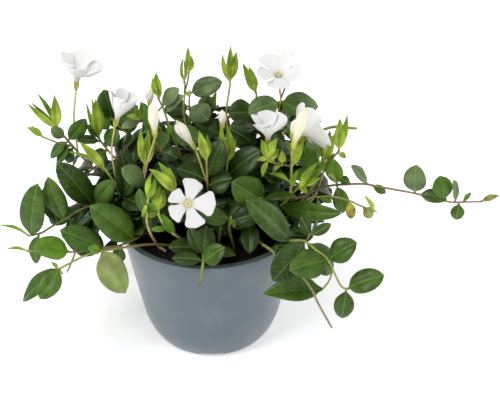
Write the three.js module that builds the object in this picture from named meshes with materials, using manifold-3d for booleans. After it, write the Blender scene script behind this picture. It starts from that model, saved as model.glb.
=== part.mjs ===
// Lesser periwinkle with white flowers, Vinca minor 'Alba', in a round plastic nursery pot.
// Millimetres, +Z up, +X right and +Y away from the viewer. The pot's foot stands on z = 0.
import * as THREE from "three";
import { mergeVertices } from "three/addons/utils/BufferGeometryUtils.js";
import Module from "manifold-3d";

const wasm = await Module();
wasm.setup();

const DEGREE = Math.PI / 180;
const GOLDEN = 0.6180339887498949;

// The pot: a tapered cup with a thick lip, a raised floor and four drain channels.
const pot = {
  height: 84,
  topRadius: 60,
  lipWidth: 4.5,
  lipDepth: 3,
  wall: 1.4,
  heelRadius: 48,
  heelHeight: 24,
  heelPull: 0.33,
  footRadius: 37.3,
  floor: 4.2,
  segments: 28,
};
const drain = { count: 4, width: 15, height: 2.4, inner: 19, hole: 3.6, holeAt: 29, holeSides: 8 };

// The soil fills the pot nearly to the lip. Stems stand in holes a little wider than they are.
// tops are the rings of its uneven top: a share of its radius and the phase of its two waves.
const soil = {
  level: 76.4,
  edge: 2,
  crown: 1.2,
  rough: 0.35,
  waves: [3, 7],
  secondWave: 0.6,
  tops: [[0.95, 1], [0.45, 2.3]],
  gap: 0.3,
  stemDepth: 9,
  holeGap: 0.35,
  holeTop: 8,
};

// The direction from which the photo was taken, and its scale on the picture.
const view = {
  columns: 500,
  rows: 400,
  focal: 1351,
  distance: 900,
  elevation: 30 * DEGREE,
  roll: 0.65 * DEGREE,
  aim: new THREE.Vector3(27, 0, 99.4),
};

// Stems are square in section, a little wider than their girth, so that they keep its bulk.
const stem = { sides: 4, round: 1.12, slack: 0.65, splineSteps: 10, step: 2.4, collar: 1.5 };
const stalkGirth = [1.2, 1.15];

// Leaf blades: a keel below the midrib, thin at the edge, arched along it and folded across it.
// bend and full shape the outline, and stations are the shares along it that have corners.
const blade = {
  thick: 0.85,
  stalk: 2.2,
  stalkShare: 0.14,
  stalkHalf: 0.5,
  root: 0.2,
  steep: 0.2,
  mature: { arch: 0.07, fold: 0.1, bend: 0.92, full: 0.68 },
  young: { arch: 0.03, fold: 0.25, bend: 0.78, full: 0.9 },
  stations: [
    { from: 15, shares: [0, 0.26, 0.55, 0.83] },
    { from: 7, shares: [0, 0.36, 0.74] },
    { from: 0, shares: [0, 0.46] },
  ],
  sampleStep: 2.4,
  sampleFrom: 0.12,
};

// Blades of a tuft stand in pairs, each this share of an even step of the stem back.
const tuftSetBack = 0.5;

// Clearances that the growing rule keeps, centre to centre.
const clear = {
  leaf: 2.5,
  own: 1.4,
  stem: 3.3,
  leafToStem: 2.7,
  root: 3.4,
  pot: 1.4,
  soil: 1.6,
  floor: 3,
  slack: 0.05,
};

const finishes = {
  pot: { color: 0x78848c, roughness: 0.5 },
  soil: { color: 0x1c1713, roughness: 1 },
  leaf: { color: 0x35591f, roughness: 0.4 },
  petal: { color: 0xf4f4f7, roughness: 0.6 },
};

// Each shoot rises from the soil at root, a column and a row of the picture, or branches from
// another one where from names it. Its path goes on through columns and rows at a depth in mm.
// A leaf is [base column, base row, tip column, tip row, tip nearer by, width, turn], and a
// tuft at the shoot's end is young blades of [tip column, tip row, tip nearer by, width, turn].
const shoots = [
  {
    name: "left_high",
    root: [176, 222],
    path: [[150, 205, 10], [126, 190, 10], [103, 176, 12], [85, 160, 16], [70, 143, 20], [56, 127, 24]],
    girth: [1.9, 1.2],
    leaves: [
      [69, 141, 86, 119, 0, 11, 40],
      [66, 139, 51, 128, 0, 8, -30],
      [65, 143, 50, 158, 3, 10, 20],
      [73, 147, 67, 163, 2, 9, 10],
      [69, 144, 57, 164, -2, 11, 0],
      [80, 155, 72, 168, -6, 9, 30],
    ],
    tuft: [[54.6, 96, 0, 8, 10], [37, 95, -2, 6, 40], [28, 104.5, 1, 5, -30], [31.5, 103.5, -4, 4, 0]],
  },
  {
    name: "left_bud",
    from: "left_high",
    path: [[72, 145, 19], [57, 142.5, 20], [48, 139, 21], [42, 136.5, 22]],
    girth: [1.2, 1],
    leaves: [],
    tuft: [[27.5, 127, 0, 5.5, 0], [31, 126.5, -1, 4.5, 90]],
  },
  {
    name: "left_middle",
    root: [165, 230],
    path: [[140, 214, -6], [130, 207, -6], [119, 189, -4], [110, 176, -1], [105, 169, 0]],
    girth: [1.9, 1.3],
    leaves: [
      [124, 196, 134, 176, 6, 12, 0],
      [126, 199, 121, 150, 4, 15, 20],
    ],
    tuft: [[79.5, 142, 0, 8, 0], [71, 149, 2, 5, 50]],
  },
  {
    name: "left_spindle",
    root: [178, 214],
    path: [[140, 182, 24], [115, 158, 26], [102, 143, 28], [97.5, 135, 29]],
    girth: [1.8, 1.2],
    leaves: [
      [101, 141, 77, 140, 4, 12, 30],
      [99, 137, 87, 125, 0, 8, 20],
      [108, 150, 95, 158, 4, 12, 20],
      [106, 148, 118, 130, 0, 13, 0],
    ],
    tuft: [[91, 98, 0, 5, 20], [95.5, 100, 1, 9, 0], [87.5, 103, 0, 5, -50], [99.5, 103, -3, 6, 40]],
  },
  {
    name: "left_back",
    root: [192, 204],
    path: [[160, 160, 52], [135, 140, 54], [115, 122, 56], [108, 114, 56]],
    girth: [1.8, 1.2],
    leaves: [
      [112, 118, 104, 90, 0, 16, 0],
      [116, 122, 138, 106, 0, 14, 10],
      [130, 136, 128, 112, 0, 13, -20],
      [113, 119, 96, 125, 5, 13, 0],
    ],
    tuft: [[103, 104, 3, 5, 0]],
  },
  {
    name: "left_out",
    root: [158, 222],
    path: [[125, 205, 4], [95, 204, -4], [70, 216, -10], [51, 227, -13], [41, 233, -15], [28, 236, -16]],
    girth: [1.9, 1.2],
    leaves: [
      [92, 204, 57.5, 163, 8, 18, -10],
      [88, 205, 60, 182, -3, 9, 60],
      [97, 204, 113, 181, 8, 14, 15],
      [29, 236, 37, 184, 6, 18, 0],
      [64, 219, 48, 178, 6, 14, -15],
      [58, 223, 44, 187, -6, 13, 10],
      [76, 213, 48, 219, -4, 15, 0],
      [40, 234, 35, 264, 5, 11, 25],
    ],
    tuft: [[1, 223, 0, 4, 40]],
  },
  {
    name: "left_inner_low",
    root: [172, 233],
    path: [
      [150, 231.5, -12], [135, 239, -26], [118, 246, -32], [104, 248, -36], [84, 251, -40],
      [71, 252, -42], [48, 251, -40], [27, 251, -39],
    ],
    girth: [1.8, 0.9],
    leaves: [
      [133, 240, 91, 206, 10, 21, -8],
      [103, 247, 60, 230, 5, 16, -10],
      [71, 251, 33, 246, 6, 18.5, 0],
      [122, 245, 119, 262, 2, 10, 20],
    ],
    tuft: [[8, 247, 0, 3, 30]],
  },
  {
    name: "left_low",
    root: [190, 249],
    path: [
      [170, 245.5, -24], [150, 244.5, -30], [127, 247, -40], [108, 250, -45], [92, 253, -48],
      [80, 258, -50], [57, 270, -52],
    ],
    girth: [1.8, 1.2],
    leaves: [
      [103, 250, 125, 293, 0, 20, 172],
      [102, 250, 88, 248, 4, 7, 0],
      [58, 269, 22, 301, 2, 14, 20],
      [60, 269, 40, 299, 7, 14, -15],
    ],
    tuft: [[52, 262, 0, 3, 0], [63, 275, 1, 2, 0]],
  },
  {
    name: "front_left",
    root: [165, 252],
    path: [[158, 246, -28], [150, 232, -34], [147, 221, -36], [147, 208, -38], [148, 199, -39]],
    girth: [1.9, 1.3],
    leaves: [
      [147.5, 217, 139, 189, 0, 9, 0],
      [147.5, 216, 151, 193, -4, 9, 0],
    ],
    tuft: [[151, 173, 0, 5.5, -30], [155, 178, 1, 5.5, 40], [142, 217, 2, 3, 0], [158, 213, 2, 4, 0]],
  },
  {
    name: "front_left_arc",
    root: [200, 241],
    path: [[185, 240, -31], [170, 231, -36], [160, 218, -38], [158, 211, -39]],
    girth: [1.9, 1.3],
    leaves: [
      [177, 233, 160, 214, 3, 7, -30],
      [168, 229, 151, 229.5, 4, 4.5, 0],
    ],
    tuft: [[159, 186, 0, 9, -20], [163, 189, -3, 7, 40]],
  },
  {
    name: "centre_lean",
    root: [194, 234],
    path: [[186, 214, -28], [179, 200, -32], [175, 191, -33]],
    girth: [1.8, 1.3],
    leaves: [],
    tuft: [[149, 169, 2, 9, 0], [160, 162, -3, 8, 20], [169, 168, -2, 4, 60], [171, 205, 4, 3, 0]],
  },
  {
    name: "front_node",
    root: [207, 252],
    path: [[203, 250, -34], [203.5, 259, -56], [202, 270, -64], [200, 286, -65]],
    girth: [1.9, 1.5],
    leaves: [
      [202, 260, 172, 258, 3, 10, 10],
      [204.5, 262, 224, 247, 3, 14, 0],
      [203, 255, 206, 226, -5, 14, 0],
      [202, 256, 189, 227, -9, 10, 0],
    ],
    tuft: [],
  },
  {
    name: "centre_right",
    root: [234, 250],
    path: [[232, 240, -28], [229, 228, -32], [231, 216, -34]],
    girth: [1.9, 1.5],
    leaves: [
      [231, 218, 200, 216, 4, 15, 0],
      [230, 222, 262, 212, -2, 15, 10],
    ],
    tuft: [[235, 228, 3, 4, 0]],
  },
  {
    name: "front_right_big",
    root: [262, 226],
    path: [[268, 210, -4], [266, 204, -14], [260, 198, -20]],
    girth: [1.9, 1.5],
    leaves: [
      [265, 202, 232, 182, 6, 21, -10],
      [262, 201, 229, 226, 12, 20, 0],
    ],
    tuft: [],
  },
  {
    name: "right_low",
    root: [240, 229],
    path: [
      [247, 229, -8], [258, 241, -28], [275, 253, -48], [298, 272, -60], [312, 290, -64],
      [318, 303, -65], [332, 328, -66],
    ],
    girth: [2.1, 1.2],
    leaves: [
      [296, 270, 276, 246, 2, 15, 0],
    ],
    tuft: [],
  },
  {
    name: "right_fan",
    root: [250, 224],
    path: [
      [270, 232, -18], [288, 240, -42], [304, 241, -50], [316, 250, -54], [328, 260, -57],
      [341, 286, -60], [350, 289, -60],
    ],
    girth: [2, 1.1],
    leaves: [
      [289, 240, 248, 200, 10, 19, 0],
      [304, 242, 273, 281, 14, 21, 0],
      [306, 242, 333, 274, -3, 17, 0],
      [328, 260, 289, 270, 9, 20, 0],
      [328, 260, 356, 242, 2, 16, 0],
      [349, 289, 384, 275, 2, 16, 0],
      [348, 288, 342, 319, 3, 13, 0],
    ],
    tuft: [],
  },
  {
    name: "right_fork",
    from: "right_fan",
    path: [[304, 241, -50], [309, 237, -50], [309, 233, -50]],
    girth: [1.2, 1],
    leaves: [
      [309, 234, 301, 217, 0, 8, 0],
      [309, 234, 331, 224, 0, 7, 30],
    ],
    tuft: [],
  },
  {
    name: "right_fan_side",
    from: "right_fan",
    path: [[332, 268, -58], [329, 281, -56], [322, 290, -55]],
    girth: [1.1, 1],
    leaves: [],
    tuft: [[263, 293, 8, 21, 0]],
  },
  {
    name: "right_stem",
    root: [268, 220],
    path: [[279, 208, -2], [289, 197, -9], [291, 188, -11], [291.5, 165, -12], [292, 150, -12]],
    girth: [2, 1.3],
    leaves: [
      [280, 208, 340, 214, 20, 12.5, 10],
    ],
    tuft: [[304, 136, 2, 8, 20], [285, 140, 0, 4, 0]],
  },
  {
    name: "right_star",
    from: "right_stem",
    path: [[291, 166, -12], [281, 164, -14], [272, 162, -16], [266, 157, -18]],
    girth: [1.3, 1],
    leaves: [],
    tuft: [
      [277, 138, 0, 7, 0], [261, 139, 0, 6, 0], [257, 160, 2, 4, 0], [263, 177, 4, 5, 30],
      [279, 149, -2, 7, 0],
    ],
  },
  {
    name: "right_spray",
    from: "right_stem",
    path: [[289, 197, -9], [296, 190, -12], [301, 185, -14]],
    girth: [1.4, 1.2],
    leaves: [],
    tuft: [[322, 169, 0, 8, 0], [320, 178, 3, 5, 30], [308, 193, 2, 5, 0]],
  },
  {
    name: "right_long",
    root: [271, 210],
    path: [[300, 206, 15], [314, 197, 11], [323, 173, 8], [331, 160, 8], [340, 150, 8]],
    girth: [1.8, 1.2],
    leaves: [],
    tuft: [[340, 119, 0, 9, 0], [346, 114, -1, 6, 30], [346, 158, 2, 5, 0]],
  },
  {
    name: "right_pink",
    root: [262, 207],
    path: [[304, 196, 3], [314, 181, 0], [321, 168, 0], [325, 160, 0]],
    girth: [2, 1.3],
    leaves: [
      [316, 177, 303, 146, -6, 13, 0],
      [315, 179, 294, 172, -4, 12, 10],
    ],
    tuft: [[330, 131, 0, 8, 10], [321, 137, -1, 6, -20], [334, 140, -3, 5, 40]],
  },
  {
    name: "right_twig",
    root: [248, 204],
    path: [[292, 160, 26], [305, 140, 26], [330, 127.5, 24], [350, 128, 24], [357, 128.5, 24]],
    girth: [1.4, 1.8],
    leaves: [
      [306, 140, 318, 160, 4, 13, 0],
      [297, 152, 286, 118, 0, 9, 30],
    ],
    tuft: [],
  },
  {
    name: "right_trail",
    root: [280, 219],
    path: [
      [300, 202, 2], [313, 190.5, 4], [330, 185.7, 3], [348, 184.3, 0], [365, 184, -5], [380, 187, -9],
      [408, 192, -16], [425, 195.7, -20], [450, 202, -24], [464, 202, -26], [482, 201.5, -28],
    ],
    girth: [1.7, 1],
    leaves: [
      [368, 184, 351.5, 165.5, 2, 9, 20],
      [371, 185, 386, 193, 3, 6, 0],
      [415, 193.5, 416, 165, 2, 15, -20],
      [443, 200, 440, 176, -2, 14, 0],
      [419.5, 195, 447, 199, 5, 10, 0],
      [456, 202, 454.5, 180, 0, 7, 40],
      [458, 202, 456, 220, 2, 9, 0],
      [338, 185, 343.5, 213.5, 5, 11, 0],
      [350, 184.5, 339, 178, -2, 8, 20],
      [337, 185, 333, 159, -2, 12, 0],
      [338, 185, 329, 174, 5, 5, 0],
      [462, 202, 471, 192.5, 1, 3, 0],
    ],
    tuft: [[499, 195.5, 0, 5, 0]],
  },
  {
    name: "right_short",
    root: [276, 229],
    path: [[306, 201, -6], [318, 197, -4], [335, 197, -8], [350, 201, -12], [361, 206, -15], [377, 212, -18]],
    girth: [1.5, 1],
    leaves: [
      [349, 201, 351.5, 219, 2, 9, 0],
      [319, 197, 332, 202, 3, 5, 0],
      [364, 207, 372, 217.5, 2, 8, 0],
    ],
    tuft: [[365, 196, 0, 4, 0]],
  },
  {
    name: "top_twin",
    root: [204, 206],
    path: [[194, 150, 38], [184, 117, 40], [184.7, 92, 42], [184.5, 82, 42]],
    girth: [1.7, 1.1],
    leaves: [],
    tuft: [[181, 59.5, 0, 4, -60], [184, 61, 0, 4, 60]],
  },
  {
    name: "top_twin_right",
    from: "top_twin",
    path: [[185, 91, 42], [187.5, 82, 42], [189, 72, 42]],
    girth: [1.1, 1],
    leaves: [],
    tuft: [[188, 48, 0, 5, 0], [191, 56, -1, 6, 40]],
  },
  {
    name: "back_middle",
    root: [207, 202],
    path: [[200, 140, 50], [190, 112, 50], [189.5, 96, 50], [190, 90, 50]],
    girth: [1.6, 1],
    leaves: [
      [190, 91, 222, 81.5, 3, 14, 15],
      [190, 106, 209, 120, 8, 17, 0],
      [190, 105, 168, 110, 6, 14, 0],
      [194, 124, 220, 134, 8, 18, 0],
      [196, 126, 170, 140, 6, 18, 0],
    ],
    tuft: [[187, 96, 1, 6, 0]],
  },
  {
    name: "back_slim",
    root: [220, 201],
    path: [[214, 150, 56], [211, 116, 58], [212, 107, 58]],
    girth: [1.5, 1],
    leaves: [
      [211, 117, 203, 96, 0, 14, 0],
      [212, 122, 230, 128, 5, 14, 0],
    ],
    tuft: [[216, 92, 0, 4.5, 0]],
  },
  {
    name: "top_left",
    root: [198, 214],
    path: [[182, 160, 18], [170, 128, 20], [163, 108, 24], [157.5, 97, 26]],
    girth: [1.8, 1.2],
    leaves: [
      [163, 107, 178.5, 88, -2, 13, -20],
      [165, 112, 183, 95, 5, 9, 0],
      [169, 124, 171, 135, 3, 5, 0],
      [172, 132, 200, 140, 5, 17, 0],
      [172, 133, 150, 150, 0, 14, 0],
    ],
    tuft: [[156, 73.5, 0, 7, 0], [152.5, 78, 1, 5, -40], [158.5, 84, -2, 4, 40]],
  },
  {
    name: "left_brown",
    root: [186, 222],
    path: [[170, 170, 6], [153, 136, 10], [147, 127, 11], [140, 118, 12]],
    girth: [1.9, 1.2],
    leaves: [
      [150, 131, 143.5, 103, 0, 8, 20],
      [141, 119, 121, 127, 4, 8, 10],
      [160, 152, 178, 158, 6, 12, 0],
    ],
    tuft: [[127, 115.5, 2, 5, 0], [134, 106, 0, 4, 0], [141, 101, -1, 5, 20]],
  },
  {
    name: "left_pale",
    root: [174, 238],
    path: [[155, 205, -20], [145, 180, -18], [144, 170, -17], [145, 164, -16]],
    girth: [1.8, 1.2],
    leaves: [
      [146, 186, 122, 168, 4, 14, 0],
    ],
    tuft: [[140, 130, 0, 6.5, -20], [148, 129, -1, 6, 20], [155, 142, -3, 6, 0]],
  },
  {
    name: "centre_stem",
    root: [214, 212],
    path: [[208, 190, -4], [207, 175, -8], [206.5, 160, -10]],
    girth: [1.7, 1.2],
    leaves: [
      [208, 178, 222, 140, -4, 17, 0],
      [207, 182, 177, 168, 2, 16, 0],
      [208, 186, 232, 178, 4, 18, 0],
    ],
    tuft: [[199, 131, 0, 8, 0], [208, 136, -2, 5, 30]],
  },
  {
    name: "centre_pale",
    root: [232, 206],
    path: [[227, 178, 2], [227.5, 160, 4]],
    girth: [1.6, 1.2],
    leaves: [
      [227, 176, 262, 150, 2, 19, 0],
      [227, 180, 258, 178, 6, 17, 0],
    ],
    tuft: [[220.5, 126, 1, 6, -20], [229, 127, -1, 7.5, 30], [235, 140, 0, 5, 50]],
  },
  {
    name: "top_middle",
    root: [232, 202],
    path: [[229, 150, 40], [226.5, 113, 42], [229, 92, 42], [230.5, 80, 42]],
    girth: [1.6, 1.1],
    leaves: [
      [227, 128, 252, 142, 8, 16, 0],
    ],
    tuft: [[230.5, 46.5, 0, 6, 0], [236, 51, 1, 7, 20], [222, 55, 0, 5, -40]],
  },
  {
    name: "top_hook",
    root: [241, 205],
    path: [[254, 150, 40], [256, 115, 44], [256.5, 92, 46]],
    girth: [1.6, 1.2],
    leaves: [
      [255.5, 112, 228, 113, 4, 18, 0],
      [255, 128, 231, 126, 8, 12, 0],
      [255, 130, 236, 147, 8, 15, 0],
    ],
    tuft: [[243.5, 64.5, 2, 7.5, -15], [248.5, 67, -2, 6.5, 35]],
  },
  {
    name: "top_right",
    root: [247, 209],
    path: [[272, 150, 32], [278, 115, 34], [281, 98, 36]],
    girth: [1.8, 1.3],
    leaves: [
      [281, 99, 248, 113, 8, 17, 0],
      [281, 99, 303, 113, 8, 13, 10],
      [281, 98, 319, 106, -4, 16, 0],
      [276, 125, 290, 108, 0, 9, 20],
    ],
    tuft: [],
  },
  {
    name: "top_right_twig",
    from: "top_right",
    path: [[281, 98, 36], [285, 88, 37], [289, 77, 39], [291.5, 66, 42]],
    girth: [1.1, 0.9],
    leaves: [],
    tuft: [[292, 53, 0, 2.5, 0]],
  },
];

// Each bloom ends a flower stalk that branches from a shoot. aim is the way that it faces, and
// spread is the angle between its axis and its lobes. A bud is a twisted spindle.
const blooms = [
  {
    name: "bloom_left_high",
    from: "left_high",
    path: [[79, 151, 17], [75.8, 136, 20], [73.8, 118, 23], [76, 89, 24]],
    kind: "open",
    aim: [0.14, 0.02, 1],
    spread: 46,
    size: 15,
    turn: 10,
  },
  {
    name: "bloom_left",
    from: "left_middle",
    path: [[118, 187, -4], [114, 168, -6], [111.5, 150, -5], [115, 126.5, -4]],
    kind: "open",
    aim: [0.3, 0.02, 1],
    spread: 28,
    size: 14.5,
    turn: 30,
  },
  {
    name: "bloom_top_right",
    from: "top_right",
    path: [[281, 98, 36], [280, 92, 36], [279.3, 85.5, 36]],
    kind: "open",
    aim: [-0.04, -0.3, 0.94],
    spread: 64,
    size: 13.8,
    turn: 0,
  },
  {
    name: "bloom_right_middle",
    from: "right_star",
    path: [[268, 158, -17], [268.5, 153, -16], [268.5, 147, -15]],
    kind: "open",
    aim: [-0.02, 0.04, 1],
    spread: 50,
    size: 13,
    turn: 20,
  },
  {
    name: "bloom_right",
    from: "right_stem",
    path: [[291.5, 156, -12], [290, 149, -9], [293, 139, -7]],
    kind: "open",
    aim: [0.82, 0.5, 0.22],
    spread: 66,
    size: 15.5,
    turn: 0,
  },
  {
    name: "bloom_centre",
    from: "centre_lean",
    path: [[186, 214, -28], [189.5, 209, -34], [191, 202.5, -37]],
    kind: "open",
    aim: [-0.1, -0.84, 0.42],
    spread: 84,
    size: 14.2,
    turn: -3,
  },
  {
    name: "bud_left",
    from: "left_pale",
    path: [[144, 178, -18], [147.5, 162, -25], [151.5, 149, -22], [155, 137, -16]],
    kind: "bud",
    aim: [-0.03, 0.1, 1],
    length: 24,
    size: 3.4,
  },
  {
    name: "bud_centre",
    from: "centre_stem",
    path: [[207.5, 184, -7], [202, 168, -10], [198, 156, -11], [195.5, 149, -11]],
    kind: "half",
    aim: [-0.48, -0.1, 0.84],
    length: 24,
    size: 4.6,
  },
  {
    name: "bud_small",
    from: "centre_pale",
    path: [[227.5, 164, 4], [223, 150, 7], [222.5, 129, 9]],
    kind: "bud",
    aim: [0, 0.1, 1],
    length: 13.5,
    size: 2.5,
  },
  {
    name: "bud_right",
    from: "right_stem",
    path: [[291.5, 158, -12], [295, 150, -17], [292.5, 139, -19]],
    kind: "bud",
    aim: [0.1, 0, 1],
    length: 14,
    size: 2.3,
  },
  {
    name: "bud_back",
    from: "top_left",
    path: [[163, 108, 24], [156, 112, 33], [150, 106, 38]],
    kind: "bud",
    aim: [0, 0, 1],
    length: 13,
    size: 3,
  },
];

// Shoots that fill the middle, the back and the sides of the mound. They are grown by rule:
// arching ones fan out behind, every other one hangs over the rim, and short ones stand in front.
// Their knots are shares of the way out and of the height.
const fill = {
  headings: [-6, 186],
  lowHeadings: [220, 345],
  arching: 10,
  short: 5,
  growth: [0.9, 1.1],
  arch: { root: 36, reach: 58, rise: 58, knots: [[0.25, 0.4], [0.6, 0.78], [1, 1]] },
  hang: { root: 42, reach: 98, rise: 24, knots: [[0.3, 0.8], [0.62, 1], [1, -0.92]] },
  low: { root: 26, reach: 37, rise: 24, knots: [[0.3, 0.4], [0.65, 0.75], [1, 1]] },
  nodeStep: 24,
  extraStep: 80,
  firstNode: 9,
  leafLength: [21, 32],
  leafWidth: 0.56,
  girth: [1.9, 1.2],
  swings: [0, 5, -5, 10, -10, 15, -15, 20, -20, 26, -26, 33, -33],
  rolls: [0, 25, -25, 50, -50, 80, -80],
  leans: [0.3, 0.8, -0.15],
  rollPlay: 60,
  turnPlay: 40,
  outwards: 0.012,
  upright: 0.35,
};

// Where the draws for the filling shoots and for their leaves start.
const seeds = { arch: 1, low: 15, shoot: 100, extra: 3000, step: 13, length: 40, roll: 77, turn: 9 };

// A leaf grown by rule may hide nothing this near it on the picture, in pixels, and hangs in
// front of the pot no lower than this row.
const hide = { cover: 4.5, frontRow: 257, behind: 1 };

// The outline of the mound on the picture: leaves that are grown by rule stay inside it.
const mound = [
  [58, 215], [62, 170], [76, 152], [97, 150], [96, 112], [104, 93], [120, 96], [136, 124], [150, 118],
  [164, 97], [178, 90], [190, 98], [220, 104], [243, 103], [258, 100], [300, 96], [317, 105], [317, 142],
  [334, 160], [332, 186], [342, 212], [326, 226], [312, 246], [300, 262], [270, 345], [150, 345],
  [128, 262], [100, 262], [60, 250],
];

// The outline of one lobe, from its notch round to the next one: the angle from its middle in
// degrees, and the length as a share of the lobe. Periwinkle lobes are cut off aslant.
const lobeOutline = [[-36, 0.26], [-29, 0.84], [5, 1], [28, 0.86]];
const flower = {
  lobes: 5,
  tube: 11,
  tubeFoot: 1,
  mouth: 2.3,
  throat: 5,
  sheet: 1.3,
  recurve: 9,
  widest: 92,
  seat: 0.95,
};
// A bud's share of its length and of its radius at each ring, and how far it twists in radians.
const bud = {
  twist: 1.4,
  closed: { sides: 5, rows: [[0, 0.4], [0.2, 0.55], [0.5, 1], [0.8, 0.85], [1, 0]] },
  halfOpen: {
    sides: 8,
    rows: [[0, 0.24], [0.25, 0.45], [0.55, 0.92], [0.82, 1.08], [1, 0.98], [0.7, 0]],
  },
};
const calyx = { corners: 5, tall: 3.6, inner: 2, outer: 2.6, brim: 0.22, floor: 0.55, foot: 2, flare: 0.3 };

// The pot's wall above its heel is a straight taper.
const taper = (pot.topRadius - pot.heelRadius) / (pot.height - pot.heelHeight);
const wallAt = (z) => pot.topRadius - taper * (pot.height - z);

// A point of the picture at a depth along +Y, as a point of the part.
const forward = new THREE.Vector3(0, Math.cos(view.elevation), -Math.sin(view.elevation));
const upward = new THREE.Vector3(0, Math.sin(view.elevation), Math.cos(view.elevation));
const eye = view.aim.clone().addScaledVector(forward, -view.distance);

function ray(column, row) {
  const across = column - view.columns / 2;
  const up = view.rows / 2 - row;
  const c = Math.cos(view.roll);
  const s = Math.sin(view.roll);
  return forward
    .clone()
    .multiplyScalar(view.focal)
    .add(new THREE.Vector3(c * across + s * up, 0, 0))
    .addScaledVector(upward, c * up - s * across);
}

function sight(column, row, depth) {
  const way = ray(column, row);
  return eye.clone().addScaledVector(way, (depth - eye.y) / way.y);
}

function soilPoint(column, row) {
  const way = ray(column, row);
  return eye.clone().addScaledVector(way, (soil.level - eye.z) / way.z);
}

function seenAt(point) {
  const from = point.clone().sub(eye);
  const scale = view.focal / from.dot(forward);
  const across = from.x * scale;
  const up = from.dot(upward) * scale;
  const c = Math.cos(view.roll);
  const s = Math.sin(view.roll);
  return [view.columns / 2 + c * across - s * up, view.rows / 2 - (s * across + c * up)];
}

// A smooth route through the points: a uniform Catmull-Rom spline with the given steps a span.
function smooth(points, steps) {
  const route = [];
  const last = points.length - 1;
  for (let i = 0; i < last; i++) {
    const before = i > 0 ? points[i - 1] : points[0].clone().multiplyScalar(2).sub(points[1]);
    const beyond = points[last].clone().multiplyScalar(2).sub(points[last - 1]);
    const after = i + 2 <= last ? points[i + 2] : beyond;
    for (let k = 0; k < steps; k++) {
      const t = k / steps;
      const weights = [
        (-t + 2 * t * t - t * t * t) / 2,
        (2 - 5 * t * t + 3 * t * t * t) / 2,
        (t + 4 * t * t - 3 * t * t * t) / 2,
        (-t * t + t * t * t) / 2,
      ];
      route.push(
        new THREE.Vector3()
          .addScaledVector(before, weights[0])
          .addScaledVector(points[i], weights[1])
          .addScaledVector(points[i + 1], weights[2])
          .addScaledVector(after, weights[3]),
      );
    }
  }
  route.push(points[last].clone());
  return route;
}

// The same route in even steps of about the given length.
function evened(route, step) {
  const lengths = [0];
  for (let i = 1; i < route.length; i++) {
    lengths.push(lengths[i - 1] + route[i].distanceTo(route[i - 1]));
  }
  const count = Math.max(Math.round(lengths.at(-1) / step), 2);
  const even = [];
  let i = 1;
  for (let k = 0; k < count; k++) {
    const at = (lengths.at(-1) * k) / count;
    while (lengths[i] < at) {
      i += 1;
    }
    even.push(route[i - 1].clone().lerp(route[i], (at - lengths[i - 1]) / (lengths[i] - lengths[i - 1])));
  }
  even.push(route.at(-1).clone());
  return even;
}

// A closed solid from corners and faces, facing out.
function solid(corners, faces) {
  const made = new wasm.Manifold(
    new wasm.Mesh({
      numProp: 3,
      vertProperties: new Float32Array(corners.flatMap((p) => [p.x, p.y, p.z])),
      triVerts: new Uint32Array(faces.flat()),
    }),
  );
  if (made.volume() < 0) {
    return solid(corners, faces.map(([a, b, c]) => [a, c, b]));
  }
  return made;
}

// Rings of equal count, closed at both ends, as one solid. An end ring may be a single point.
function skin(rings) {
  const corners = rings.flat();
  const starts = rings.map((_, r) => rings.slice(0, r).flat().length);
  const faces = [];
  for (let r = 0; r + 1 < rings.length; r++) {
    const [low, high] = [rings[r], rings[r + 1]];
    const count = Math.max(low.length, high.length);
    for (let i = 0; i < count; i++) {
      const next = (i + 1) % count;
      if (low.length > 1) {
        faces.push([starts[r] + i, starts[r] + next, starts[r + 1] + (high.length > 1 ? next : 0)]);
      }
      if (high.length > 1) {
        faces.push([starts[r] + (low.length > 1 ? i : 0), starts[r + 1] + next, starts[r + 1] + i]);
      }
    }
  }
  const end = starts.at(-1);
  for (let i = 1; i + 1 < rings[0].length; i++) {
    faces.push([0, i + 1, i]);
  }
  for (let i = 1; i + 1 < rings.at(-1).length; i++) {
    faces.push([end, end + i, end + i + 1]);
  }
  return solid(corners, faces);
}

// A route with only the points that it needs to stay within the slack of its full self.
function thinned(route, slack) {
  let worst = 0;
  let at = 0;
  const [first, last] = [route[0], route.at(-1)];
  const chord = new THREE.Line3(first, last);
  for (let i = 1; i + 1 < route.length; i++) {
    const off = chord.closestPointToPoint(route[i], true, new THREE.Vector3()).distanceTo(route[i]);
    if (off > worst) {
      worst = off;
      at = i;
    }
  }
  if (worst < slack) {
    return [first, last];
  }
  return [...thinned(route.slice(0, at + 1), slack).slice(0, -1), ...thinned(route.slice(at), slack)];
}

// The point of a thinned route that is nearest to the given one.
function onto(route, point) {
  let best = null;
  for (let i = 1; i < route.length; i++) {
    const chord = new THREE.Line3(route[i - 1], route[i]);
    const near = chord.closestPointToPoint(point, true, new THREE.Vector3());
    if (!best || near.distanceTo(point) < best.distanceTo(point)) {
      best = near;
    }
  }
  return best;
}

// A stem: a tapered tube with flat ends along a thinned route.
function stemSolid(route, girth) {
  const sides = stem.sides;
  const last = route.length - 1;
  let side = null;
  const rings = route.map((p, i) => {
    const along = route[Math.min(i + 1, last)].clone().sub(route[Math.max(i - 1, 0)]).normalize();
    const hint = side || new THREE.Vector3(1, 0, 0);
    side = hint.clone().addScaledVector(along, -hint.dot(along)).normalize();
    const other = along.clone().cross(side);
    const radius = (stem.round * (girth[0] + (girth[1] - girth[0]) * (i / last))) / 2;
    const ring = [];
    for (let k = 0; k < sides; k++) {
      const angle = (2 * Math.PI * k) / sides;
      ring.push(
        p.clone()
          .addScaledVector(side, radius * Math.cos(angle))
          .addScaledVector(other, radius * Math.sin(angle)),
      );
    }
    return ring;
  });
  return skin(rings);
}

// The frame of a blade: its length along a, its upper face towards n and its side b.
const facing = new THREE.Vector3(0, -0.6, 0.8);

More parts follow.
